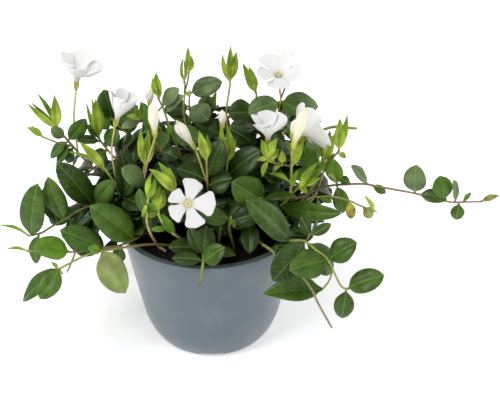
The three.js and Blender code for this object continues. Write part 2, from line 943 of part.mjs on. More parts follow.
function bladeFrame(base, tip, turn, towards = facing) {
  const a = tip.clone().sub(base);
  const length = a.length();
  a.normalize();
  let n = towards.clone().addScaledVector(a, -towards.dot(a));
  if (n.length() < blade.steep) {
    n = new THREE.Vector3(1, 0, 0).addScaledVector(a, -a.x);
  }
  n.normalize();
  const b = a.clone().cross(n);
  const c = Math.cos(turn * DEGREE);
  const s = Math.sin(turn * DEGREE);
  const normal = n.clone().multiplyScalar(c).addScaledVector(b, s);
  return { base, length, a, n: normal, b: a.clone().cross(normal) };
}

// Half the blade's width at a share of the way from its stalk to its tip.
function halfWidth(share, width, young) {
  const { bend, full } = young ? blade.young : blade.mature;
  return (width / 2) * Math.max(Math.sin(Math.PI * Math.pow(share, bend)), 0) ** full;
}

// A point of the blade's upper face, at a share along it and from -1 to 1 across it.
function bladePoint({ frame, width, young }, share, across) {
  const { arch, fold } = young ? blade.young : blade.mature;
  const stalk = Math.min(blade.stalk, blade.stalkShare * frame.length);
  const along = (stalk + share * (frame.length - stalk)) / frame.length;
  const half = Math.max(halfWidth(share, width, young), share < 0.5 ? blade.stalkHalf : 0);
  return frame.base
    .clone()
    .addScaledVector(frame.a, along * frame.length)
    .addScaledVector(frame.b, across * half)
    .addScaledVector(frame.n, arch * frame.length * 4 * along * (1 - along) + fold * Math.abs(across) * half);
}

// More stations along a large blade than along a small one.
function stationsOf({ width }) {
  return blade.stations.find(({ from }) => width >= from).shares;
}

// A blade as a closed solid: an upper face between its two edges, and a keel below its midrib.
function bladeSolid(leaf) {
  const { frame } = leaf;
  const corners = [frame.base.clone().addScaledVector(frame.a, blade.root)];
  const stations = stationsOf(leaf);
  for (const share of stations) {
    const keel = bladePoint(leaf, share, 0).addScaledVector(frame.n, -blade.thick);
    corners.push(bladePoint(leaf, share, 1), bladePoint(leaf, share, -1), keel);
  }
  const tip = corners.push(bladePoint(leaf, 1, 0)) - 1;
  const faces = [[0, 2, 1], [0, 3, 2], [0, 1, 3]];
  for (let r = 0; r + 1 < stations.length; r++) {
    const i = 1 + 3 * r;
    for (const [p, q] of [[0, 1], [1, 2], [2, 0]]) {
      faces.push([i + p, i + q, i + q + 3], [i + p, i + q + 3, i + p + 3]);
    }
  }
  faces.push([tip - 3, tip - 2, tip], [tip - 2, tip - 1, tip], [tip - 1, tip - 3, tip]);
  return solid(corners, faces);
}

// Points spread over a blade, to keep it clear of what grew before it.
function bladeSamples(leaf) {
  const points = [bladePoint(leaf, 1, 0)];
  const rows = Math.ceil(leaf.frame.length / blade.sampleStep);
  for (let i = 1; i < rows; i++) {
    const share = blade.sampleFrom + ((1 - blade.sampleFrom) * i) / rows;
    const columns = Math.ceil((2 * halfWidth(share, leaf.width, leaf.young)) / blade.sampleStep);
    for (let k = 0; k <= columns; k++) {
      points.push(bladePoint(leaf, share, (2 * k) / columns - 1));
    }
  }
  return points;
}

// What has grown so far: groups of points, each with a bounding ball.
const grown = [];

function record(group, kind, points) {
  const centre = points.reduce((sum, p) => sum.add(p), new THREE.Vector3()).divideScalar(points.length);
  const reach = Math.max(...points.map((p) => p.distanceTo(centre)));
  grown.push({ group, kind, points, centre, reach });
}

// How far the points lie beyond the wanted clearance from all that has grown. Less than 0 is
// too near. wanted gives the clearance for a kind and for whether the group is the same.
function room(points, group, wanted) {
  const centre = points.reduce((sum, p) => sum.add(p), new THREE.Vector3()).divideScalar(points.length);
  const reach = Math.max(...points.map((p) => p.distanceTo(centre)));
  let least = Infinity;
  for (const other of grown) {
    const need = wanted(other.kind, other.group === group);
    if (need <= 0 || centre.distanceTo(other.centre) > reach + other.reach + need) {
      continue;
    }
    for (const p of points) {
      for (const q of other.points) {
        least = Math.min(least, p.distanceTo(q) - need);
      }
    }
  }
  return least;
}

// How far the points lie clear of the pot and the soil, by their sizes.
function holderRoom(points) {
  let least = Infinity;
  const lipInner = pot.topRadius - pot.lipWidth - clear.pot;
  for (const p of points) {
    const radius = Math.hypot(p.x, p.y);
    const aboveLip = p.z - pot.height - clear.pot;
    const outside = radius - wallAt(p.z) - clear.pot;
    if (radius > lipInner) {
      least = Math.min(least, Math.max(aboveLip, outside));
    } else {
      least = Math.min(least, p.z - soil.level - soil.crown - clear.soil);
    }
    least = Math.min(least, p.z - clear.floor);
  }
  return least;
}

function leafWanted(kind, same) {
  if (kind === "leaf") {
    return same ? clear.own : clear.leaf;
  }
  if (kind === "stem") {
    return same ? 0 : clear.leafToStem;
  }
  return kind === "young" && same ? 0 : clear.leaf;
}

function stemWanted(kind, same) {
  return same ? 0 : clear.stem;
}

// Depth and turn that a grown leaf may take to keep clear, the wanted pose first.
const leafNudges = [0, 2, -2, 4, -4, 7, -7, 10, -10, 14].flatMap((nearer) =>
  [0, 14, -14, 30, -30].map((turn) => [nearer, turn]),
);
const youngNudges = [0, 2, -2, 4, -4, 6, -6, 9, -9].map((nearer) => [nearer, 0]);
const stemNudges = [0, 2, -2, 4, -4, 6, -6, 9, -9, 12, -12];

function nearestOn(route, column, row) {
  let best = route[0];
  let least = Infinity;
  for (const p of route) {
    const [c, r] = seenAt(p);
    const gap = Math.hypot(c - column, r - row);
    if (gap < least) {
      least = gap;
      best = p;
    }
  }
  return best;
}

// Places a leaf by its base on the shoot and its tip on the picture.
function placeLeaf(shoot, base, [tipColumn, tipRow, nearer, width, turn], young) {
  let best = null;
  for (const [depthNudge, turnNudge] of young ? youngNudges : leafNudges) {
    const tip = sight(tipColumn, tipRow, base.y - nearer - depthNudge);
    const leaf = { frame: bladeFrame(base, tip, turn + turnNudge), width, young };
    const samples = bladeSamples(leaf);
    const space = Math.min(room(samples, shoot.group, leafWanted), holderRoom(samples));
    if (!best || space > best.space) {
      best = { leaf, space };
    }
    if (space >= 0) {
      break;
    }
  }
  record(shoot.group, young ? "young" : "leaf", bladeSamples(best.leaf));
  show(bladeSamples(best.leaf));
  return best.leaf;
}

// A shoot's route, nudged in depth as a whole until it is clear of the stems before it.
function placeRoute(shoot, parents) {
  const start = shoot.root ? soilPoint(...shoot.root) : null;
  const parent = shoot.from ? parents.get(shoot.from) : null;
  const origin = parent ? onto(parent.route, nearestOn(parent.fine, ...shoot.path[0])) : null;
  let best = null;
  for (const nudge of stemNudges) {
    const free = (shoot.root ? shoot.path : shoot.path.slice(1)).map(([c, r, y]) => sight(c, r, y + nudge));
    const knots = [shoot.root ? start.clone().setZ(soil.level + stem.collar) : origin, ...free];
    const fine = evened(smooth(knots, stem.splineSteps), stem.step);
    const space = Math.min(room(fine, shoot.group, stemWanted), holderRoom(fine.slice(2)));
    if (!best || space > best.space) {
      best = { fine, space };
    }
    if (space >= 0) {
      break;
    }
  }
  const below = shoot.root ? [start.clone().setZ(soil.level - soil.stemDepth)] : [];
  record(shoot.group, "stem", best.fine);
  const route = [...below, ...thinned(best.fine, stem.slack)];
  return { fine: best.fine, route, start };
}

// The calyx: a five-cornered cup round the axis, from a seat at the end of a stalk.
function calyxSolid(seat, aim) {
  const { place } = axisFrame(seat, aim);
  const ring = (radius, height) =>
    Array.from({ length: calyx.corners }, (_, i) =>
      place((2 * Math.PI * i) / calyx.corners, radius, height),
    );
  return skin([
    [place(0, 0, -calyx.foot)],
    ring(calyx.outer, calyx.brim),
    ring(calyx.outer + calyx.flare, calyx.tall),
    ring(calyx.inner + calyx.flare, calyx.tall),
    ring(calyx.inner, calyx.floor),
  ]);
}

// A frame round an axis: place(angle, radius, height) is a point of the part.
function axisFrame(seat, aim) {
  const w = new THREE.Vector3(...aim).normalize();
  const u = new THREE.Vector3(1, 0, 0).addScaledVector(w, -w.x).normalize();
  const v = w.clone().cross(u);
  const place = (angle, radius, height) =>
    seat
      .clone()
      .addScaledVector(w, height)
      .addScaledVector(u, radius * Math.cos(angle))
      .addScaledVector(v, radius * Math.sin(angle));
  return { place };
}

// An open corolla: a tube, a throat and five lobes cut off aslant, thin at their edges.
function corollaSolid(seat, bloom) {
  const { place } = axisFrame(seat, bloom.aim);
  const mouth = flower.seat + flower.tube;
  const rim = [];
  for (let lobe = 0; lobe < flower.lobes; lobe++) {
    for (const [degrees, share] of lobeOutline) {
      const angle = ((360 / flower.lobes) * lobe + degrees + bloom.turn) * DEGREE;
      rim.push({ angle, length: share * bloom.size });
    }
  }
  const early = bloom.spread * DEGREE;
  const late = Math.min(bloom.spread + flower.recurve, flower.widest) * DEGREE;
  const half = 1 / 2;
  const sheet = ({ angle, length }, share) => {
    const inner = Math.min(share, half) * length;
    const outer = Math.max(share - half, 0) * length;
    const radius = flower.mouth + inner * Math.sin(early) + outer * Math.sin(late);
    return place(angle, radius, mouth + inner * Math.cos(early) + outer * Math.cos(late));
  };
  const under = flower.sheet * Math.cos(early);
  const rings = [
    rim.map(({ angle }) => place(angle, flower.tubeFoot, flower.seat)),
    rim.map(({ angle }) => place(angle, flower.mouth + under, mouth - flower.sheet * Math.sin(early))),
    rim.map((r) => sheet(r, 1)),
    rim.map((r) => sheet(r, half)),
    rim.map((r) => sheet(r, 0)),
    [place(0, 0, mouth - flower.throat)],
  ];
  return { solid: skin(rings), points: [...rings[1], ...rings[2], ...rings[3]] };
}

// A bud: a spindle with a twist. A half-open bud is cut off at its end and hollowed there.
function budSolid(seat, bloom) {
  const { place } = axisFrame(seat, bloom.aim);
  const { sides, rows } = bloom.kind === "bud" ? bud.closed : bud.halfOpen;
  const rings = rows.map(([share, radius]) =>
    Array.from({ length: radius ? sides : 1 }, (_, i) => {
      const angle = (2 * Math.PI * i) / sides + bud.twist * share;
      return place(angle, radius * bloom.size, flower.seat + share * (bloom.length - flower.seat));
    }),
  );
  return { solid: skin(rings), points: rings.slice(1).flat() };
}

// Draws from 0 to 1, the same on every run.
const draw = (k) => (k * GOLDEN) % 1;
const between = ([low, high], share) => low + (high - low) * share;

const roots = [];

function rootRoom(point) {
  const gaps = roots.map((r) => Math.hypot(r.x - point.x, r.y - point.y) - clear.root);
  return Math.min(Infinity, ...gaps);
}

// One filling shoot's arc: a heading in degrees, a root radius and, from root to end, the
// distance out and the height above the soil of its further knots.
function arcOf(heading, { root, reach, rise, knots }, growth) {
  const points = knots.map(([out, up]) => [root + (reach - root) * out, rise * up * growth]);
  return { heading, root, points };
}

function fillArcs() {
  const arcs = [];
  for (let i = 0; i < fill.arching; i++) {
    const heading = between(fill.headings, i / (fill.arching - 1));
    arcs.push(arcOf(heading, i % 2 ? fill.hang : fill.arch, between(fill.growth, draw(seeds.arch + i))));
  }
  for (let i = 0; i < fill.short; i++) {
    const heading = between(fill.lowHeadings, i / (fill.short - 1));
    arcs.push(arcOf(heading, fill.low, between(fill.growth, draw(seeds.low + i))));
  }
  return arcs;
}

// Swings a filling shoot's arc round the pot until it is clear of the stems before it.
function placeFill({ heading, root, points }, group) {
  let best = null;
  for (const swing of fill.swings) {
    const angle = (heading + swing) * DEGREE;
    const at = (radius, height) =>
      new THREE.Vector3(radius * Math.cos(angle), radius * Math.sin(angle), soil.level + height);
    const start = at(root, stem.collar);
    const knots = [start, ...points.map(([out, up]) => at(out, up))];
    const fine = evened(smooth(knots, stem.splineSteps), stem.step);
    const space = Math.min(room(fine, group, stemWanted), holderRoom(fine.slice(2)), rootRoom(start));
    if (!best || space > best.space) {
      best = { fine, space, start };
    }
    if (space >= 0) {
      break;
    }
  }
  roots.push(best.start);
  return best;
}

// True if the row and column lie inside the mound's outline.
function inMound(column, row) {
  let inside = false;
  for (let i = 0, j = mound.length - 1; i < mound.length; j = i++) {
    const [ci, ri] = mound[i];
    const [cj, rj] = mound[j];
    if (ri > row !== rj > row && column < ((cj - ci) * (row - ri)) / (rj - ri) + ci) {
      inside = !inside;
    }
  }
  return inside;
}

// What the picture shows: each shown piece as points [column, row, distance from the eye].
const shown = [];

function seenPoints(points) {
  return points.map((p) => [...seenAt(p), p.clone().sub(eye).dot(forward)]);
}

function show(points) {
  const seen = seenPoints(points);
  const columns = seen.map(([column]) => column);
  const rows = seen.map(([, row]) => row);
  const [left, right] = [Math.min(...columns), Math.max(...columns)];
  shown.push({ seen, left, right, top: Math.min(...rows), low: Math.max(...rows) });
}

// True if a leaf would leave the mound's outline or hide what the picture shows.
function spoils(points) {
  const { cover } = hide;
  return seenPoints(points).some(([column, row, far]) => {
    if (!inMound(column, row) || (far < view.distance && row > hide.frontRow)) {
      return true;
    }
    return shown.some(({ seen, left, right, top, low }) => {
      const beside = column < left - cover || column > right + cover;
      if (beside || row < top - cover || row > low + cover) {
        return false;
      }
      return seen.some(
        ([c, r, d]) => far < d - hide.behind && Math.abs(c - column) < cover && Math.abs(r - row) < cover,
      );
    });
  });
}

// Pairs of leaves along a shoot by rule, wherever they are clear and spoil nothing.
function pairsOn(group, { fine, route }, seed, nodeStep) {
  const leaves = [];
  let travelled = nodeStep - fill.firstNode;
  for (let i = 1; i < fine.length; i++) {
    travelled += fine[i].distanceTo(fine[i - 1]);
    if (travelled < nodeStep && i + 2 < fine.length) {
      continue;
    }
    travelled = 0;
    const base = onto(route, fine[Math.min(i, fine.length - 2)]);
    const along = fine[i].clone().sub(fine[Math.max(i - 2, 0)]).normalize();
    const up = new THREE.Vector3(0, 0, 1).addScaledVector(along, -along.z);
    if (up.length() < fill.upright) {
      up.set(base.x, base.y, 0).addScaledVector(along, -along.x * base.x - along.y * base.y);
    }
    up.normalize();
    const side = along.clone().cross(up);
    for (const hand of [-1, 1]) {
      const leaf = pairLeaf(group, base, along, up, side, hand, seed + seeds.step * i + hand);
      if (leaf) {
        record(group, "leaf", bladeSamples(leaf));
        leaves.push(leaf);
      }
    }
  }
  return leaves;
}

// One leaf of a pair: the first of its rolls and leans that is clear, or none.
function pairLeaf(group, base, along, up, side, hand, seed) {
  const length = between(fill.leafLength, draw(seed + seeds.length));
  const outwards = new THREE.Vector3(fill.outwards * base.x, fill.outwards * base.y, 1);
  const turn = fill.turnPlay * (draw(seed + seeds.turn) - 0.5);
  for (const roll of fill.rolls) {
    for (const lean of fill.leans) {
      const turned = (roll + fill.rollPlay * (draw(seed + seeds.roll) - 0.5)) * DEGREE;
      const way = side
        .clone()
        .multiplyScalar(hand * Math.cos(turned))
        .addScaledVector(up, Math.sin(turned))
        .addScaledVector(along, lean)
        .normalize();
      const tip = base.clone().addScaledVector(way, length);
      const frame = bladeFrame(base, tip, turn, outwards);
      const leaf = { frame, width: length * fill.leafWidth, young: false };
      const samples = bladeSamples(leaf);
      if (room(samples, group, leafWanted) >= 0 && holderRoom(samples) >= 0 && !spoils(samples)) {
        return leaf;
      }
    }
  }
  return null;
}

// The heel is a curve from the foot that runs out along the wall. Inside, it starts above the
// floor.
const heel = { outside: 4, inside: 3, aboveFloor: 1 };

function heelPoints(count) {
  const controlHeight = pot.heelHeight * pot.heelPull;
  const curve = new THREE.QuadraticBezierCurve(
    new THREE.Vector2(pot.footRadius, 0),
    new THREE.Vector2(wallAt(controlHeight), controlHeight),
    new THREE.Vector2(pot.heelRadius, pot.heelHeight),
  );
  return curve.getPoints(count).map((p) => [p.x, p.y]);
}

const innerHeel = () => heelPoints(heel.inside).filter(([, z]) => z > pot.floor + heel.aboveFloor);

// The pot, turned from the middle of its floor out, up and back down inside, and then cut.
function potSolid() {
  const inner = innerHeel()
    .map(([r, z]) => [r - pot.wall, z])
    .reverse();
  const lipInner = pot.topRadius - pot.lipWidth;
  const lipFoot = pot.height - pot.lipDepth;
  const below = lipFoot - (wallAt(lipFoot) - pot.wall - lipInner);
  const profile = [
    [0, 0],
    ...heelPoints(heel.outside),
    [pot.topRadius, pot.height],
    [lipInner, pot.height],
    [lipInner, lipFoot],
    [wallAt(below) - pot.wall, below],
    ...inner,
    [pot.footRadius - pot.wall, pot.floor],
    [0, pot.floor],
  ];
  const points = profile.map(([r, z]) => new THREE.Vector2(r, z));
  let made = fromGeometry(new THREE.LatheGeometry(points, pot.segments), true);
  for (let i = 0; i < drain.count; i++) {
    const angle = (i * 2 * Math.PI) / drain.count - Math.PI / 2;
    const length = pot.topRadius - drain.inner;
    const channel = new THREE.BoxGeometry(length, drain.width, 2 * drain.height);
    channel.translate(drain.inner + length / 2, 0, 0);
    channel.rotateZ(angle);
    const hole = new THREE.CylinderGeometry(drain.hole, drain.hole, 4 * pot.floor, drain.holeSides);
    hole.rotateX(Math.PI / 2);
    hole.translate(drain.holeAt * Math.cos(angle), drain.holeAt * Math.sin(angle), 0);
    made = made.subtract(fromGeometry(channel)).subtract(fromGeometry(hole));
  }
  return made;
}

// A three.js geometry as a solid. A lathe turns round Y and is stood up on Z.
function fromGeometry(geometry, lathe = false) {
  const plain = geometry.clone();
  if (lathe) {
    plain.rotateX(Math.PI / 2);
  }
  plain.deleteAttribute("normal");
  plain.deleteAttribute("uv");
  const merged = mergeVertices(plain, 1e-3);
  const faces = [];
  const index = merged.index.array;
  for (let i = 0; i < index.length; i += 3) {
    const [a, b, c] = [index[i], index[i + 1], index[i + 2]];
    if (a !== b && b !== c && a !== c) {
      faces.push([a, b, c]);
    }
  }
  const place = merged.attributes.position;
  const corners = Array.from({ length: place.count }, (_, i) =>
    new THREE.Vector3().fromBufferAttribute(place, i),
  );
  return solid(corners, faces);
}

// The soil: it fills the pot, has an uneven top, and has a plain hole for each stem.
function soilSolid(starts) {
  const inside = pot.wall + soil.gap;
  const ring = (radius, height) =>
    Array.from({ length: pot.segments }, (_, i) => {
      const angle = (2 * Math.PI * i) / pot.segments;
      return new THREE.Vector3(radius * Math.cos(angle), radius * Math.sin(angle), height(angle));
    });
  const shoulder = soil.level - soil.edge;
  const rings = [
    ring(pot.footRadius - inside, () => pot.floor + soil.gap),
    ...innerHeel().map(([r, z]) => ring(r - inside, () => z)),
    ring(wallAt(shoulder) - inside, () => shoulder),
  ];
  for (const [share, phase] of soil.tops) {
    rings.push(
      ring((wallAt(shoulder) - inside) * share, (angle) => {
        const wave = (count, offset) => Math.sin(count * angle + offset);
        const uneven = wave(soil.waves[0], phase) + soil.secondWave * wave(soil.waves[1], 2 * phase);
        return soil.level + soil.crown * (1 - share) + soil.rough * uneven;
      }),
    );
  }
  let made = skin(rings);
  for (const { point, radius } of starts) {
    const square = (z) =>
      Array.from({ length: stem.sides }, (_, i) => {
        const angle = (2 * Math.PI * i) / stem.sides;
        return new THREE.Vector3(point.x + radius * Math.cos(angle), point.y + radius * Math.sin(angle), z);
      });
    const hole = [square(soil.level - soil.stemDepth - soil.gap), square(soil.level + soil.holeTop)];
    made = made.subtract(skin(hole));
  }
  return made;
}

function toMesh(name, made, finish) {
  const mesh = made.getMesh();
  const geometry = new THREE.BufferGeometry();
  geometry.setAttribute("position", new THREE.BufferAttribute(mesh.vertProperties, 3));
  geometry.setIndex(new THREE.BufferAttribute(mesh.triVerts, 1));
  geometry.computeVertexNormals();
  const result = new THREE.Mesh(geometry, new THREE.MeshStandardMaterial({ ...finish, metalness: 0 }));
  result.name = name;
  return result;
}

// Half the diagonal of the square hole that a stem stands in.
const holeRadius = ([girth]) => (stem.round * girth) / 2 + soil.holeGap * Math.SQRT2;

// Grows the plant: all routes first, then blooms and young tufts, then leaves, then filling.
function grow() {
  const routes = new Map();
  const bodies = new Map();
  const starts = [];
  const petals = [];
  const add = (group, piece) => bodies.set(group, [...(bodies.get(group) || []), piece]);
  const groups = new Map();
  for (const shoot of [...shoots, ...blooms]) {
    shoot.group = shoot.from ? groups.get(shoot.from) : shoot.name;
    groups.set(shoot.name, shoot.group);
    shoot.girth = shoot.girth || stalkGirth;
    const placed = placeRoute(shoot, routes);
    routes.set(shoot.name, placed);
    add(shoot.group, stemSolid(placed.route, shoot.girth));
    if (placed.start) {
      roots.push(placed.start);
      starts.push({ point: placed.start, radius: holeRadius(shoot.girth) });
    }
  }
  for (const bloom of blooms) {
    const seat = routes.get(bloom.name).fine.at(-1);
    const made = bloom.kind === "open" ? corollaSolid(seat, bloom) : budSolid(seat, bloom);
    add(bloom.group, calyxSolid(seat, bloom.aim));
    record(bloom.name, "bloom", made.points);
    show(made.points);
    petals.push([bloom.name, made.solid]);
  }
  for (const shoot of shoots) {
    const { fine, route } = routes.get(shoot.name);
    const end = fine.length - 1;
    shoot.tuft.forEach((tip, k) => {
      const back = 1 + Math.floor(k / 2);
      const base = onto(route, fine[end].clone().lerp(fine[end - back], tuftSetBack));
      const leaf = placeLeaf(shoot, base, tip, true);
      add(shoot.group, bladeSolid(leaf));
    });
  }
  for (const shoot of shoots) {
    const { fine, route } = routes.get(shoot.name);
    for (const [column, row, ...tip] of shoot.leaves) {
      const base = onto(route, nearestOn(fine.slice(1, -1), column, row));
      const leaf = placeLeaf(shoot, base, tip, false);
      add(shoot.group, bladeSolid(leaf));
    }
  }
  const filled = [];
  fillArcs().forEach((arc, index) => {
    const group = "inner_" + String(index + 1).padStart(2, "0");
    const { fine, space, start } = placeFill(arc, group);
    if (space < -clear.slack) {
      return;
    }
    record(group, "stem", fine);
    filled.push({ group, start, seed: seeds.shoot * index, fine, route: thinned(fine, stem.slack) });
  });
  for (const { group, start, seed, fine, route } of filled) {
    const leaves = pairsOn(group, { fine, route }, seed, fill.nodeStep);
    if (leaves.length > 0) {
      starts.push({ point: start, radius: holeRadius(fill.girth) });
      add(group, stemSolid([start.clone().setZ(soil.level - soil.stemDepth), ...route], fill.girth));
      leaves.forEach((leaf) => add(group, bladeSolid(leaf)));
    }
  }
  shoots.forEach((shoot, index) => {
    const seed = seeds.extra + seeds.shoot * index;
    for (const leaf of pairsOn(shoot.group, routes.get(shoot.name), seed, fill.extraStep)) {
      add(shoot.group, bladeSolid(leaf));
    }
  });
  return { bodies, petals, starts };
}

const { bodies, petals, starts } = grow();

const plant = new THREE.Group();
plant.add(toMesh("pot", potSolid(), finishes.pot));
plant.add(toMesh("soil", soilSolid(starts), finishes.soil));
for (const [group, pieces] of bodies) {
  plant.add(toMesh("shoot_" + group, wasm.Manifold.union(pieces), finishes.leaf));
}
for (const [name, made] of petals) {
  plant.add(toMesh(name, made, finishes.petal));
}

export default plant;
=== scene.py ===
"""Lesser periwinkle with white flowers in a nursery pot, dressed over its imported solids.

Lengths are in millimetres until a mesh is made, where they turn to metres. The shoots, leaves
and flowers are grown by the same rule and from the same points as the part's solids.
"""
import logging
import math
from dataclasses import dataclass, field
from enum import Enum
from functools import lru_cache, partial
from typing import Any, Callable, Iterable, Sequence

import bpy
import numpy as np
from mathutils import Matrix


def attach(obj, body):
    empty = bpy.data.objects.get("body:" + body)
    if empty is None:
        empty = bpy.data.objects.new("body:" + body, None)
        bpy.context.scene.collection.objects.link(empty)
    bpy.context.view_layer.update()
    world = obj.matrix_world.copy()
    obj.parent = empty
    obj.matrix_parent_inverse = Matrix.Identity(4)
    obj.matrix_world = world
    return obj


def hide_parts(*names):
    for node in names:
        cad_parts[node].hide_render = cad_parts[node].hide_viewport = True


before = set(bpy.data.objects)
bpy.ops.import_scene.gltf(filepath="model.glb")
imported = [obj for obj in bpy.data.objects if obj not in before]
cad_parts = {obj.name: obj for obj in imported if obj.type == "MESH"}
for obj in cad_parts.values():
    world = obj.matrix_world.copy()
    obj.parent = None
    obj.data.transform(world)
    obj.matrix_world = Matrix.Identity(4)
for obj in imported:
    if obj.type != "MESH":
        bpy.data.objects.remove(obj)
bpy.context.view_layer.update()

Array = np.ndarray
Pair = tuple[float, float]
Row = tuple[float, ...]
Ways = tuple[Array, Array, Array]
Skin = tuple[Array, list[Array]]
Socket = bpy.types.NodeSocket
Thing = bpy.types.Object
MM = 0.001
GOLDEN = 0.6180339887498949
log = logging.getLogger("periwinkle")


# Shared sums.


def draw(k: float) -> float:
    """A draw from 0 to 1 that is the same on every run: the fraction of k golden ratios."""
    return (k * GOLDEN) % 1


def between(pair: Sequence[float], share: float) -> float:
    """The value at a share of the way between two."""
    return pair[0] + (pair[1] - pair[0]) * share


def unit(vector: Array) -> Array:
    """The vectors, each divided by its length."""
    return vector / np.maximum(np.linalg.norm(vector, axis=-1, keepdims=True), 1e-9)


def cross(first: Array, second: Array) -> Array:
    """The cross product of two vectors."""
    (a, b, c), (x, y, z) = first, second
    return np.array([b * z - c * y, c * x - a * z, a * y - b * x])


def ease(low: float, high: float, value: Array) -> Array:
    """From 0 below low to 1 above high, along the curve 3t^2 - 2t^3."""
    t = np.clip((value - low) / (high - low), 0, 1)
    return t * t * (3 - 2 * t)


def linear(code: str, alpha: float = 1.0) -> tuple[float, float, float, float]:
    """Turns an sRGB hex colour to linear.

    Args:
        code: the colour as "#rrggbb".
        alpha: its opacity.

    Returns:
        Red, green, blue and alpha.
    """
    parts = [int(code[i : i + 2], 16) / 255 for i in (1, 3, 5)]
    red, green, blue = (p / 12.92 if p <= 0.04045 else ((p + 0.055) / 1.055) ** 2.4 for p in parts)
    return red, green, blue, alpha


def blended(low: str, high: str, share: Array) -> Array:
    """Linear colours between two hex colours, in the share's shape with one more axis of four."""
    first, last = np.array(linear(low)), np.array(linear(high))
    return first + (last - first) * np.clip(np.asarray(share, float), 0, 1)[..., None]


def smooth(knots: Array, steps: int) -> Array:
    """A uniform Catmull-Rom spline through the knots, whose ends run on straight.

    Args:
        knots: the points that it goes through.
        steps: how many points it gets for each span.

    Returns:
        The points along it.
    """
    padded = np.vstack([2 * knots[0] - knots[1], knots, 2 * knots[-1] - knots[-2]])
    t = np.arange(steps) / steps
    weights = np.stack(
        [-t + 2 * t**2 - t**3, 2 - 5 * t**2 + 3 * t**3, t + 4 * t**2 - 3 * t**3, t**3 - t**2]
    )
    spans = np.stack([padded[i : i + 4] for i in range(len(knots) - 1)])
    curve = np.einsum("kt,skx->stx", weights / 2, spans)
    return np.vstack([curve.reshape(-1, knots.shape[1]), knots[-1:]])


def travelled(route: Array) -> Array:
    """The way along a route to each of its points."""
    return np.concatenate([[0], np.cumsum(np.linalg.norm(np.diff(route, axis=0), axis=1))])


def evened(route: Array, step: float) -> Array:
    """The same route in even steps.

    Args:
        route: its points.
        step: about how long a step is.

    Returns:
        The points at the steps.
    """
    way = travelled(route)
    count = max(math.floor(way[-1] / step + 0.5), 2)
    at = way[-1] * np.arange(count + 1) / count
    return np.stack([np.interp(at, way, route[:, k]) for k in range(route.shape[1])], axis=1)


def on_chords(route: Array, point: Array) -> Array:
    """The nearest points to one point on each chord of a route.

    Args:
        route: its points.
        point: the point to be near.

    Returns:
        A point for each chord.
    """
    start, chord = route[:-1], np.diff(route, axis=0)
    share = np.einsum("ij,ij->i", point - start, chord) / np.einsum("ij,ij->i", chord, chord)
    return start + chord * np.clip(share, 0, 1)[:, None]


def onto(route: Array, point: Array) -> Array:
    """The point of a route that is nearest to the given one."""
    near = on_chords(route, point)
    return near[np.argmin(np.linalg.norm(near - point, axis=1))]


def thinned(route: Array, slack: float) -> Array:
    """Drops the points that a route can do without.

    Args:
        route: its points.
        slack: how far it may leave its full self.

    Returns:
        The points that stay.
    """
    ends = route[[0, -1]]
    off = [np.linalg.norm(on_chords(ends, p)[0] - p) for p in route[1:-1]]
    if not off or max(off) < slack:
        return ends
    at = int(np.argmax(off)) + 1
    return np.vstack([thinned(route[: at + 1], slack)[:-1], thinned(route[at:], slack)])


# The plant as it was read from the picture.


class Stage(Enum):
    """How far a flower has opened."""

    OPEN = "open"
    HALF_OPEN = "half open"
    CLOSED = "closed"


@dataclass(frozen=True)
class Shoot:
    """A shoot: its root on the soil or the shoot it branches from, and what grows on it.

    path holds columns and rows of the picture with a depth. A leaf is its base's column and
    row, its tip's column and row, how much nearer its tip is, its width and its turn. A young
    blade at the shoot's end is the same without its base.
    """

    name: str
    root: Pair | str
    girth: Pair
    path: tuple
    leaves: tuple = ()
    tuft: tuple = ()


@dataclass(frozen=True)
class Flower:
    """A flower or bud at the end of a stalk. It faces along aim."""

    name: str
    root: str
    path: tuple
    stage: Stage
    aim: tuple[float, float, float]
    size: float
    spread: float = 0.0
    turn: float = 0.0
    length: float = 0.0
    girth: Pair = (1.2, 1.15)
    late: bool = False


